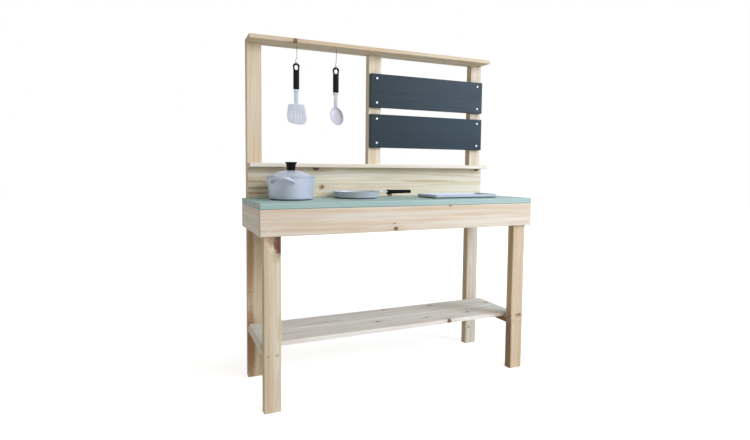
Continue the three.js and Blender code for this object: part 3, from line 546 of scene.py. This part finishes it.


# Painted shade: darker along the seams between planks and along a plank's lower edge, where shade falls
def seamShadeMask(tree, vector, name, board, end):
    low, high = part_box(name)
    parts = newNode(tree, "SeparateXYZ", {0: vector})
    shadeStart, shadeEnd = (low.z + rise * mm for rise in paintLook["underEdgeShade"])
    mask = ranged(tree, parts[2], shadeStart, shadeEnd, paintLook["underEdgeShadeStrength"], 0)
    reach = ranged(tree, end, 0, 1, *(length * mm for length in paintLook["seamShadeReach"]))
    for edge, sign, used in zip((low.y, high.y), (1, -1), board.get("seams", (0, 0))):
        if used:
            away = times(tree, minus(tree, parts[1], edge), sign)
            mask = most(tree, mask, minus(tree, 1, over(tree, away, reach)), clamp=True)
    return times(tree, mask, paintLook["seamShade"])


def dressPainted():
    look = paintLook
    for name, board in painted.items():
        coat = coats[board["coat"]]
        shaderValues = {"IOR": look["IOR"], "Specular IOR Level": coat["gloss"]}
        material, tree, shader, coordinates = newMaterial(name + "Paint", shaderValues)
        local, rings, masks, end = boardValues(tree, coordinates, name, board)
        lengthways = stretched(tree, local, (0.5, 1, 1))
        marks = useGroup(tree, handling, {"Vector": lengthways, "Scale": look["patchScale"]})
        tone = coat["body"]
        for second, mask in (
            ("deep", times(tree, rings["Late"], look["late"])),
            ("deep", ranged(tree, rings["Streak"], *look["streaks"])),
            ("worn", ranged(tree, rings["Fibre"], *look["fibres"])),
            ("worn", times(tree, marks["Patches"], look["patches"])),
            ("end", times(tree, end, look["end"])),
            # painted shade along the seams and under the lower edge
            ("seamShade", seamShadeMask(tree, coordinates["Object"], name, board, end)),
        ):
            tone = blended(tree, mask, tone, coat[second])
        rough = ranged(tree, plus(tree, marks["Patches"], rings["Fibre"]), *look["markRange"], *coat["rough"])
        late, fibre = (
            times(tree, rings[key], share) for key, share in zip(("Late", "Fibre"), look["relief"]))
        finished(tree, shader, tone, rough, plus(tree, late, fibre), *look["bump"])
        setFinish(name, material)


dressPainted()
print("painted planks dressed")

# Metals and plastics
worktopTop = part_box("worktop_plank_1")[1].z
metal = {"Metallic": 0.12, "IOR": 1.5}
plastic = {"IOR": 1.42, "Specular IOR Level": 0.12}
nylon = {"IOR": 1.5}
# Painted contact shade round a vessel's foot: its tone, the heights it fades over, and the facing that takes
# it
contactShadeLook = {"tone": "#272b2d", "rise": (2.2, 5.6), "facing": (-0.12, -0.02)}
spinLines, gritStrength, markRange = 1500, 0.6, (0.2, 1.7)
# Slot, two tones, shader values, roughness, patch scale, grit depth, node it was spun with, painted contact
# shade round the foot
finishTable = {
    "potMetal": ("pan_metal", "#cad2e2", "#c1cad9", metal, (0.3, 0.42), 16, 0.00002, "pot_body", True),
    "panMetal": ("pan_metal", "#ced2dc", "#c3c8d1", metal, (0.28, 0.38), 16, 0.00002, "pan_body", True),
    "trayMetal": ("pan_metal", "#d0d8e4", "#c6cfdc", {"IOR": 1.36}, (0.4, 0.48), 12, 0.00002, None, True),
    "blackPlastic": ("black_plastic", "#040505", "#070808", plastic, (0.34, 0.46), 60, 0.00004),
    "greyNylon": ("grey_nylon", "#c8cfd8", "#bec7d1", nylon, (0.36, 0.48), 40, 0.00003),
    "spoonNylon": ("grey_nylon", "#cfcdd8", "#c4c3cf", nylon, (0.3, 0.42), 40, 0.00003),
    "screwSteel": ("screw_steel", "#f2f3f4", "#e2e4e6", {"Metallic": 0.7}, (0.3, 0.45), 300, 0.00002),
    "paleSteel": ("screw_steel", "#dfd8cb", "#c8c0b2", {"Metallic": 0.3}, (0.4, 0.55), 300, 0.00002),
    "sunkSteel": ("screw_steel", "#c3b8a5", "#aca18e", {"Metallic": 0.4}, (0.4, 0.55), 300, 0.00002),
    "hookSteel": ("hook_steel", "#838789", "#6f7375", {"Metallic": 0.6}, (0.3, 0.45), 200, 0.00002),
}


def plainFinish(name, base, second, shaderValues, rough, scale, grit, spun=None, foot=False):
    material, tree, shader, coordinates = newMaterial(name, shaderValues)
    vector = coordinates["Object"]
    marks = useGroup(tree, handling, {"Vector": vector, "Scale": scale})
    tone = blended(tree, marks["Patches"], base, second)
    height = marks["Grit"]
    level = ranged(tree, plus(tree, marks["Patches"], height), *markRange, *rough)
    if spun:  # fine lines round a vessel's axis, left by spinning
        local = seenFrom(tree, vector, middleOf(spun))
        around = lengthOf(tree, stretched(tree, local, (1, 1, 0)))
        turn = newNode(tree, "CombineXYZ", {0: around, 1: heightOf(tree, local)})[0]
        height = plus(tree, height, noise(tree, stretched(tree, turn, (spinLines, spinLines, 0)), detail=2))
    # Painted contact shade: faces that look downwards just above the worktop are darkened
    if foot:
        low, high = (worktopTop + rise * mm for rise in contactShadeLook["rise"])
        mask = ranged(tree, heightOf(tree, vector), low, high, 1, 0)
        down = ranged(tree, dot(tree, coordinates["Normal"], upward), *contactShadeLook["facing"], 1, 0)
        tone = blended(tree, times(tree, mask, down), tone, contactShadeLook["tone"])
    finished(tree, shader, tone, level, height, grit, gritStrength)
    return material


finishes = {name: (slotName, plainFinish(name, *values)) for name, (slotName, *values) in finishTable.items()}
print("metals and plastics mixed")


# Form helpers: profiles are (radius, height) pairs in millimetres
def outward(form):
    bmesh.ops.recalc_face_normals(form, faces=form.faces)
    return form


def turned(profile, steps):
    form = bmesh.new()
    corners = [form.verts.new((radius * mm, 0, height * mm)) for radius, height in profile]
    for a, b in zip(corners, corners[1:]):
        form.edges.new((a, b))
    bmesh.ops.spin(form, geom=form.verts[:] + form.edges[:], cent=(0, 0, 0), axis=upward, angle=2 * math.pi,
                   steps=steps, use_merge=True)
    bmesh.ops.remove_doubles(form, verts=form.verts, dist=1e-6)
    return outward(form)


def block(low, high):
    form = bmesh.new()
    bmesh.ops.create_cube(form, size=1)
    low, high = Vector(low) * mm, Vector(high) * mm
    bmesh.ops.scale(form, vec=high - low, verts=form.verts)
    bmesh.ops.translate(form, vec=(low + high) / 2, verts=form.verts)
    return form


def moved(form, place=(0, 0, 0), turn=(0, 0, 0)):
    matrix = Matrix.Translation(place) @ Euler(turn).to_matrix().to_4x4()
    bmesh.ops.transform(form, matrix=matrix, verts=form.verts)
    return form


def bevelled(form, geom, offset, segments, affect="EDGES"):
    bmesh.ops.bevel(form, geom=geom, offset=offset * mm, segments=segments, profile=0.5, affect=affect,
                    material=-1)


def crossCut(form, heights, axis=upward, **settings):
    for height in heights:
        bmesh.ops.bisect_plane(form, geom=form.verts[:] + form.edges[:] + form.faces[:], dist=1e-7,
                               plane_co=axis * height * mm, plane_no=axis, **settings)


def cornersOf(geom):
    return [part for part in geom if isinstance(part, bmesh.types.BMVert)]


def joined(forms):
    whole = bmesh.new()
    for form in forms:
        mesh = meshOf(form)
        whole.from_mesh(mesh)
        bpy.data.meshes.remove(mesh)
    return whole


def rawObject(form, name="part"):
    return linked(name, meshOf(form, name))


# The form that an object's modifiers or curve settings give it; the object itself goes
def evaluated(thing):
    bpy.context.view_layer.update()
    seen = thing.evaluated_get(bpy.context.evaluated_depsgraph_get())
    form = bmesh.new()
    mesh = bpy.data.meshes.new_from_object(seen)
    form.from_mesh(mesh)
    bpy.data.meshes.remove(mesh)
    bpy.data.objects.remove(thing)
    bmesh.ops.remove_doubles(form, verts=form.verts, dist=1e-6)
    return outward(form)


# Joins or cuts closed forms into one closed form
def combined(first, others, operation="UNION"):
    whole = rawObject(first)
    helpers = [rawObject(other) for other in others]
    for helper in helpers:
        adjusted(whole.modifiers.new("step", "BOOLEAN"), operation=operation, solver="EXACT", object=helper)
    form = evaluated(whole)
    for helper in helpers:
        bpy.data.objects.remove(helper)
    return form


def addPiece(name, form, body, finish, nodes, place=(0, 0, 0), smooth=35):
    slotName, material = finishes[finish]
    thing = rawObject(moved(form, place), name)
    thing.data.materials.append(material)
    thing.data.shade_smooth()
    thing.data.set_sharp_from_angle(angle=math.radians(smooth))
    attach(thing, body)
    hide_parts(*nodes)
    return thing


def newCurve(dimensions, **settings):
    return adjusted(bpy.data.curves.new("line", "CURVE"), dimensions=dimensions, **settings)


# An outline through corners (x, y, rounding), in millimetres
def roundedOutline(curve, corners):
    spline = curve.splines.new("BEZIER")
    spline.bezier_points.add(2 * len(corners) - 1)
    spline.use_cyclic_u = True
    spline.resolution_u = 8
    for i, (x, y, rounding) in enumerate(corners):
        corner = Vector((x, y, 0))
        for j, other in enumerate((corners[i - 1], corners[(i + 1) % len(corners)])):
            away = Vector((*other[:2], 0))
            place = corner.lerp(away, min(rounding / (away - corner).length, 0.5))
            inner = place.lerp(corner, 2 / 3)
            point = spline.bezier_points[2 * i + j]
            point.handle_left_type = point.handle_right_type = "FREE"
            point.co = place * mm
            point.handle_left, point.handle_right = (inner * mm, point.co) if j else (point.co, inner * mm)


def flatPiece(outlines, thickness, rounding):
    curve = newCurve(
        "2D", fill_mode="BOTH", extrude=(thickness / 2 - rounding) * mm, bevel_depth=rounding * mm,
        bevel_resolution=3, offset=-rounding * mm)
    for corners in outlines:
        roundedOutline(curve, corners)
    return evaluated(linked("outline", curve))


# A wire or strap along a smooth line through points, in millimetres
def drawnThrough(points, resolution, radii=None, **settings):
    curve = newCurve("3D", use_fill_caps=True, **settings)
    spline = curve.splines.new("BEZIER")
    spline.bezier_points.add(len(points) - 1)
    spline.resolution_u = resolution
    for point, place, radius in zip(spline.bezier_points, points, radii or [1] * len(points)):
        point.co = Vector(place) * mm
        point.radius = radius
        point.handle_left_type = point.handle_right_type = "AUTO"
    return evaluated(linked("line", curve))


# A flat strap along a smooth line, its section's width lying level or leaning
def strapForm(points, width, thickness, radii, lean=0):
    section = newCurve("2D", fill_mode="NONE")
    corners = [Matrix.Rotation(lean, 2) @ Vector((x * width, y * thickness))
               for x, y in ((-1, -1), (1, -1), (1, 1), (-1, 1))]
    roundedOutline(section, [(*corner, thickness * 0.95) for corner in corners])
    sectionObject = linked("section", section)
    form = drawnThrough(points, 10, radii, twist_mode="Z_UP", bevel_mode="OBJECT", bevel_object=sectionObject)
    bpy.data.objects.remove(sectionObject)
    return form


def easing(value, low, high):
    share = min(max((value - low) / (high - low), 0), 1)
    return share * share * (3 - 2 * share)


# A flat piece set upright, which grows thicker from one height to another
def uprightPiece(outlines, sizes):
    form = moved(flatPiece(outlines, sizes["thickness"], sizes["rounding"]), turn=(math.pi / 2, 0, 0))
    crossCut(form, sizes["cuts"])
    more = sizes["thickest"] / sizes["thickness"] - 1
    for vertex in form.verts:
        vertex.co.y *= 1 + more * easing(vertex.co.z / mm, *sizes["swell"])
    return form


def leaned(form, fromHeight, angle):
    for vertex in form.verts:
        vertex.co.y -= math.tan(angle) * max(0, fromHeight * mm - vertex.co.z)


# Screws
screwSizes = {
    "shankLength": 26, "point": 3, "arm": (0.42, 1.75), "recess": 1.3, "taper": 0.45, "sides": 32,
    "roundHead": [(2, 0), (4.2, 0), (4.2, 0.5), (4, 1.1), (3.4, 1.75), (2.7, 2.1), (2.3, 2.2)],
    "flushHead": [(2, -2.7), (4.45, -0.25), (4.3, 0), (3.4, 0.02), (2.5, 0)],
}
screwSets = {
    "chalkboardScrews": ("chalkboard_screw", 8, (0, -1, 0), "roundHead", "screwSteel"),
    "frontApronScrews": ("front_apron_screw", 2, (0, -1, 0), "flushHead", "paleSteel"),
    "leftSideScrews": ("left_side_apron_screw", 2, (-1, 0, 0)),
    "rightSideScrews": ("right_side_apron_screw", 2, (1, 0, 0)),
    "frontBearerScrews": ("front_bearer_screw", 2, (0, -1, 0)),
    "rearBearerScrews": ("rear_bearer_screw", 2, (0, 1, 0)),
    "topShelfScrews": ("top_shelf_screw", 3, (0, 0, 1)),
}
innerScrews = {"frontBearerScrews": [(-447, -136.7, 175), (447, -136.7, 175)]}


# A screw along +Z with a cross recess in its head, whose profile starts at the neck
def screwForm(kind):
    sizes = screwSizes
    head = sizes[kind]
    tip = -sizes["shankLength"]
    form = turned([(0, tip), (head[0][0], tip + sizes["point"])] + head, sizes["sides"])
    half, reach = sizes["arm"]
    quarter = [(half, half), (reach, half), (reach, -half)]
    cross = [form.verts.new((Matrix.Rotation(-turn * math.pi / 2, 3, "Z") @ Vector((x, y, head[-1][1]))) * mm)
             for turn in range(4) for x, y in quarter]
    mouth = [form.edges.new((cross[i - 1], cross[i])) for i in range(len(cross))]
    ring = [edge for edge in form.edges if edge.is_boundary]
    bmesh.ops.bridge_loops(form, edges=ring + mouth)
    low = cornersOf(bmesh.ops.extrude_edge_only(form, edges=mouth)["geom"])
    bmesh.ops.translate(form, vec=(0, 0, -sizes["recess"] * mm), verts=low)
    bmesh.ops.scale(form, vec=(sizes["taper"], sizes["taper"], 1), verts=low)
    form.faces.new(low)
    return outward(form)


def makeScrews(name, stem, count, out, kind="flushHead", finish="sunkSteel"):
    nodes = [f"{stem}_{i + 1}" for i in range(count)]
    turn = Vector(out).to_track_quat("Z", "Y").to_euler()
    axis = max(range(3), key=lambda i: abs(out[i]))
    seats = []
    for node in nodes:
        seat = middleOf(node)
        seat[axis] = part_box(node)[out[axis] > 0][axis] - out[axis] * screwSizes[kind][-1][1] * mm
        seats.append(seat)
    seats += [Vector(place) * mm for place in innerScrews.get(name, [])]
    addPiece(name, joined([moved(screwForm(kind), seat, turn) for seat in seats]), "root", finish, nodes)


for setName, row in screwSets.items():
    makeScrews(setName, *row)
print("screws made")

# Hooks: a wire with a crank, from inside the shelf down to its upturned tip. A kink is (share of the drop, x)
hookSizes = {
    "wire": 1.2, "thread": 9, "bend": 7, "bendSteps": 6, "tip": 5, "foot": -4.5,
    "collar": [(0, -0.6), (2.6, -0.6), (2.9, -0.3), (2.9, -0.05), (0, -0.05)],
    "left": {"place": (-311.33, 113, 1162), "drop": 67.9, "kinks": [
        (0.2, 0), (0.4, 0), (0.58, 0), (0.66, -2.6), (0.74, -5.2), (0.82, -4.5)]},
    "right": {"place": (-162.958, 113, 1162), "drop": 69.9, "kinks": [
        (0.2, 0), (0.4, -0.2), (0.6, -1), (0.74, -3.2), (0.84, -4.4)]},
}


def makeHook(side):
    sizes, own = hookSizes, hookSizes[side]
    bend, foot, drop = sizes["bend"], sizes["foot"], own["drop"]
    points = [(0, 0, sizes["thread"]), (0, 0, 0)] + [(x, 0, -share * drop) for share, x in own["kinks"]]
    for i in range(sizes["bendSteps"] + 1):
        angle = i / sizes["bendSteps"] * math.pi
        points.append((foot, bend * (math.cos(angle) - 1), bend - drop - bend * math.sin(angle)))
    points.append((foot, -2 * bend, bend - drop + sizes["tip"]))
    wire = drawnThrough(points, 8, bevel_depth=sizes["wire"] * mm, bevel_resolution=4)
    form = joined([wire, turned(sizes["collar"], 24)])
    addPiece(side + "HookWire", form, "root", "hookSteel", [side + "_hook"], Vector(own["place"]) * mm)


for side in ("left", "right"):
    makeHook(side)
print("hooks bent")

# Hanging tools, drawn round the wire that they hang on
toolSizes = {
    "places": {"spatula": Vector((-315.83, 106, 1091.5)) * mm, "spoon": Vector((-167.458, 106, 1089.5)) * mm},
    "top": 10.7, "bottom": -79.3, "half": 10.5, "ring": 13.4, "shoulder": 0.75, "hole": (6.4, 8.9, -4.6),
    "holeRounding": 9, "thickness": 7, "thickest": 11, "rounding": 3.2, "swell": (-11, -24),
    "cuts": range(-76, -8, 4),
}


def toolHandle(tool):
    sizes = toolSizes
    ring, top, half, bottom, soft = (sizes[key] for key in ("ring", "top", "half", "bottom", "holeRounding"))
    middle = top - ring
    shoulder = middle - sizes["shoulder"] * ring
    eighth = math.tan(math.pi / 8)
    corner = ring * eighth
    outline = [
        (-half, bottom, 2), (half, bottom, 2), (half, shoulder, 8), (ring, middle + corner, corner),
        (corner, top, corner), (-corner, top, corner), (-ring, middle + corner, corner), (-half, shoulder, 8),
    ]
    wide, tall, centre = sizes["hole"]
    a, b = wide * eighth, tall * eighth
    hole = [(x, centre + y, soft) for x, y in (
        (wide, b), (a, tall), (-a, tall), (-wide, b), (-wide, -b), (-a, -tall), (a, -tall), (wide, -b))]
    form = uprightPiece([outline, hole], sizes)
    addPiece(tool + "Handle", form, tool, "blackPlastic", [tool + "_handle"], sizes["places"][tool], 50)


spatulaSizes = {
    "outline": [
        (-9, -79.6, 0.6), (-6.75, -99.6, 8), (-6.75, -131.3, 4), (-29.05, -131.3, 5.9), (-35.35, -173.1, 9.1),
        (-33.25, -192.5, 6.3), (-8.4, -203.3, 10.5), (25.2, -202.2, 8.4), (36.75, -187.5, 9.8),
        (29.05, -131.3, 5.9), (6.75, -131.3, 4), (6.75, -99.6, 8), (9, -79.6, 0.6),
    ],
    "slotHalf": 0.8, "slotEnds": (-154.3, -187.3), "slots": (-17.25, -5.75, 5.75, 17.25), "thickness": 2.4,
    "rounding": 0.7, "thickest": 4.4, "bladeTop": -131.3, "swell": (-134, -114), "tilt": math.radians(10),
    "cuts": [-90, -100, -112, -120, -124, -128, -131.3, -135, -140],
}


def spatulaBlade():
    sizes = spatulaSizes
    top, low = sizes["slotEnds"]
    half = sizes["slotHalf"]
    slots = [[(x - half, top, half), (x + half, top, half), (x + half, low, half), (x - half, low, half)]
             for x in sizes["slots"]]
    form = uprightPiece([sizes["outline"]] + slots, sizes)
    leaned(form, sizes["bladeTop"], sizes["tilt"])
    addPiece("spatulaBlade", form, "spatula", "greyNylon", ["spatula_blade"], toolSizes["places"]["spatula"])


spoonSizes = {
    "neck": ((-6.5, -2, -133.3), (6.5, 2, -79.6)), "neckEdge": 1.4,
    "collar": ((-9, -4.5, -87.6), (9, 4.5, -79.6)), "collarEdge": 1.6,
    "bowl": (25.4, 34, 11), "bowlSteps": (48, 24), "wall": 2, "bowlTop": -131.3, "tilt": math.radians(20),
}


def spoonBowl():
    sizes = spoonSizes
    bowl = bmesh.new()
    around, down = sizes["bowlSteps"]
    bmesh.ops.create_uvsphere(bowl, u_segments=around, v_segments=down, radius=mm)
    bmesh.ops.scale(bowl, vec=sizes["bowl"], verts=bowl.verts)
    crossCut(bowl, [0], clear_outer=True)
    outward(bowl)
    bmesh.ops.solidify(bowl, geom=bowl.faces[:], thickness=sizes["wall"] * mm)
    moved(bowl, (0, 0, (sizes["bowlTop"] - sizes["bowl"][1]) * mm), (math.pi / 2, 0, 0))
    leaned(bowl, sizes["bowlTop"], sizes["tilt"])
    blocks = []
    for key in ("neck", "collar"):
        form = block(*sizes[key])
        bevelled(form, form.edges[:], sizes[key + "Edge"], 3)
        blocks.append(form)
    form = combined(bowl, blocks)
    addPiece("spoonBowl", form, "spoon", "spoonNylon", ["spoon_bowl"], toolSizes["places"]["spoon"], 40)


toolHandle("spatula")
toolHandle("spoon")
spatulaBlade()
spoonBowl()
print("tools hung")

# Pot, its loops and its lid. A loop point is (x, share of the reach, height)
potSizes = {
    "turn": math.radians(-36), "steps": 96,
    "body": [
        (0, 0.8), (58, 0.8), (60, 0), (63.5, 0), (67.2, 0.8), (70, 3), (71.4, 6.8), (72.3, 14), (78.5, 70.6),
        (79, 71.6), (80.7, 72.2), (81.5, 73.2), (81.5, 74.2), (80.7, 75), (77.5, 75), (76.5, 74.2),
        (76.3, 72.6), (70.2, 14), (69.4, 7.8), (68, 4.8), (64.5, 2.8), (0, 2.8),
    ],
    "loop": [(38, -0.2, 57), (38, 0.14, 57.9), (35.72, 0.45, 63.3), (25.84, 0.82, 69.6), (0, 1, 72)],
    "loopWidths": [0.9, 0.9, 0.95, 1.0, 1.0, 1.0, 0.95, 0.9, 0.9],
    "loopSection": (5.2, 1.3), "loopLean": math.radians(58), "span": 76, "reach": 22, "wall": (71, 78.5, 71),
    "under": -5, "above": 90,
}
lidSizes = {
    "dome": 68.5, "rise": 18, "power": 2.4, "wall": 2, "innerStep": 1.4, "rimBelow": 3,
    "outerRadii": [0, 6, 13.5, 20, 28, 36, 44, 52, 58, 63, 67.5], "innerRadii": [67.5, 63, 52, 36, 20, 0],
    "rim": [(70.5, 2.1), (75.5, 2.1), (77.5, 1.8), (78, 0.8), (77.5, 0), (74.3, -0.2), (74.3, -3),
            (72.3, -3), (72.3, -0.4), (67.5, 0.4)],
    "knob": [
        (0, 0), (13.1, 0), (13.6, 0.5), (14.2, 7), (15.4, 16), (16.8, 22.2), (18.8, 23.2), (19.5, 24),
        (19.5, 25.8), (19, 26.7), (17.8, 27), (14.8, 26.7), (11, 26.3), (6, 26.1), (0, 26.1),
    ],
    "knobGap": 0.05, "screw": [(0, 2.4), (2.2, 2.4), (2.2, 0), (5, 0), (5, -1.3), (4.3, -2), (0, -2)],
    "screwGap": 0.3,
}


# The middle of a node's foot, where its vessel is drawn from
def footOf(node):
    foot = middleOf(node)
    foot.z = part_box(node)[0].z
    return foot


def makePot():
    sizes = potSizes
    base = footOf("pot_body")
    addPiece("potBody", turned(sizes["body"], sizes["steps"]), "pot", "potMetal", ["pot_body"], base)
    low, high, height = sizes["wall"]
    wall = low + (high - low) * sizes["loop"][0][2] / height
    foot = math.sqrt(wall ** 2 - (sizes["span"] / 2) ** 2)
    depth = wall + sizes["reach"] - foot
    under, above = sizes["under"], sizes["above"]
    for side, name, node in ((-1, "potNearLoop", "pot_near_handle"), (1, "potFarLoop", "pot_far_handle")):
        half = [(x, side * (foot + out * depth), z) for x, out, z in sizes["loop"]]
        points = half + [(-x, y, z) for x, y, z in reversed(half[:-1])]
        strap = strapForm(points, *sizes["loopSection"], sizes["loopWidths"], sizes["loopLean"])
        blank = turned([(0, under), (low, under), (low, 0), (high, height), (high, above), (0, above)],
                       sizes["steps"])
        form = combined(strap, [blank], "DIFFERENCE")
        moved(form, turn=(0, 0, sizes["turn"]))
        addPiece(name, form, "pot", "potMetal", [node], base, 45)


def makeLid():
    sizes = lidSizes
    base = footOf("pot_body")
    base.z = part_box("pot_lid")[0].z + sizes["rimBelow"] * mm

    def domeHeight(radius):
        return sizes["rise"] * (1 - (radius / sizes["dome"]) ** sizes["power"])

    outer = [(radius, sizes["wall"] + domeHeight(radius)) for radius in sizes["outerRadii"]]
    inner = [(max(radius - sizes["innerStep"], 0), domeHeight(radius)) for radius in sizes["innerRadii"]]
    lid = turned(outer + sizes["rim"] + inner, potSizes["steps"])
    addPiece("potLid", lid, "lid", "potMetal", ["pot_lid"], base, 40)
    knobBase = base + upward * (sizes["wall"] + sizes["rise"] + sizes["knobGap"]) * mm
    addPiece("lidKnob", turned(sizes["knob"], 48), "lid", "blackPlastic", ["lid_knob"], knobBase, 40)
    screwBase = base + upward * (sizes["rise"] - sizes["screwGap"]) * mm
    addPiece("lidKnobScrew", turned(sizes["screw"], 32), "lid", "screwSteel", ["lid_knob_screw"], screwBase)


makePot()
makeLid()
print("pot and lid made")

# Pan
panSizes = {
    "steps": 112,
    "body": [
        (0, 0.7), (62, 0.7), (64, 0), (68, 0), (71.8, 0.9), (74.6, 3.3), (76.3, 7), (81.2, 21.4),
        (81.8, 22.2), (83, 22.7), (83.5, 23.3), (83.2, 23.9), (82.4, 24), (80.6, 23.6), (79.6, 22),
        (74.6, 7.6), (73, 4.6), (70.4, 2.9), (66.5, 2.4), (0, 2.4),
    ],
    "neck": [(82, 0, 19), (90, 0, 21.2), (104, 0, 21.8), (122, 0, 21)], "neckSection": (6.5, 2.2),
    "neckWidths": [2.0, 1.4, 1.0, 1.0], "gripStart": 120.5, "gripLength": 98, "gripRise": 21,
    "gripRounding": 4.5, "gripHalf": 10, "gripRoot": 0.86, "gripShoulder": 0.3, "gripThickness": 14,
    "gripEnd": 12, "cuts": range(8, 89, 8), "hump": 3.2, "humpSpan": (0.06, 0.2),
}


def makePan():
    sizes = panSizes
    base = footOf("pan_body")
    addPiece("panBody", turned(sizes["body"], sizes["steps"]), "pan", "panMetal", ["pan_body"], base)
    neck = strapForm(sizes["neck"], *sizes["neckSection"], sizes["neckWidths"])
    addPiece("panNeck", neck, "pan", "panMetal", ["pan_neck"], base, 45)
    half, length, thickness = sizes["gripHalf"], sizes["gripLength"], sizes["gripThickness"]
    root, shoulder = half * sizes["gripRoot"], length * sizes["gripShoulder"]
    outline = [(0, -root, 6), (shoulder, -half, 14), (length, -half, 9.4),
               (length, half, 9.4), (shoulder, half, 14), (0, root, 6)]
    grip = flatPiece([outline], thickness, sizes["gripRounding"])
    crossCut(grip, sizes["cuts"], axes["x"])
    for vertex in grip.verts:
        share = vertex.co.x / mm / length
        vertex.co.z *= 1 + (sizes["gripEnd"] / thickness - 1) * share
        if vertex.co.z < 0:  # a hump under the root, where the fingers close
            vertex.co.z *= 1 + sizes["hump"] / (thickness / 2) * (1 - easing(share, *sizes["humpSpan"]))
    moved(grip, (sizes["gripStart"] * mm, 0, sizes["gripRise"] * mm))
    addPiece("panGrip", grip, "pan", "blackPlastic", ["pan_grip"], base, 50)


makePan()
print("pan made")

# Tray: a rounded rectangle with a lip, pressed down in the middle
traySizes = {
    "length": 270, "depth": 120, "corner": 10, "lip": 4.2, "height": 13, "draft": 2.6, "wall": 1.2,
    "steps": 10, "floorRounding": 2.6, "lipDrop": 1.4, "edge": 0.5,
}


def makeTray():
    sizes = traySizes
    length, depth = sizes["length"], sizes["depth"]
    form = bmesh.new()
    form.faces.new([form.verts.new((x * length / 2 * mm, y * depth / 2 * mm, sizes["height"] * mm))
                    for x, y in ((-1, -1), (1, -1), (1, 1), (-1, 1))])
    bevelled(form, form.verts[:], sizes["corner"], sizes["steps"], "VERTICES")
    form.faces.ensure_lookup_table()
    face = form.faces[0]
    bmesh.ops.inset_region(form, faces=[face], thickness=sizes["lip"] * mm, use_even_offset=True)
    low = cornersOf(bmesh.ops.extrude_face_region(form, geom=[face])["geom"])
    bmesh.ops.delete(form, geom=[face], context="FACES_ONLY")
    bmesh.ops.translate(form, vec=(0, 0, -(sizes["height"] - sizes["wall"]) * mm), verts=low)
    narrower = (1 - 2 * sizes["draft"] / length, 1 - 2 * sizes["draft"] / depth, 1)
    bmesh.ops.scale(form, vec=narrower, verts=low)
    outward(form)
    floorEdges = [edge for edge in form.edges if all(v in low for v in edge.verts)]
    bevelled(form, floorEdges, sizes["floorRounding"], 4)
    rim = [edge for edge in form.edges if edge.is_boundary]
    dropped = cornersOf(bmesh.ops.extrude_edge_only(form, edges=rim)["geom"])
    bmesh.ops.translate(form, vec=(0, 0, -sizes["lipDrop"] * mm), verts=dropped)
    thing = addPiece("trayBody", outward(form), "tray", "trayMetal", ["tray"], footOf("tray"), 40)
    adjusted(thing.modifiers.new("wall", "SOLIDIFY"), thickness=sizes["wall"] * mm, offset=-1)
    adjusted(thing.modifiers.new("edges", "BEVEL"), width=sizes["edge"] * mm, segments=2,
             limit_method="ANGLE", angle_limit=math.radians(40))


makeTray()
print("tray pressed")
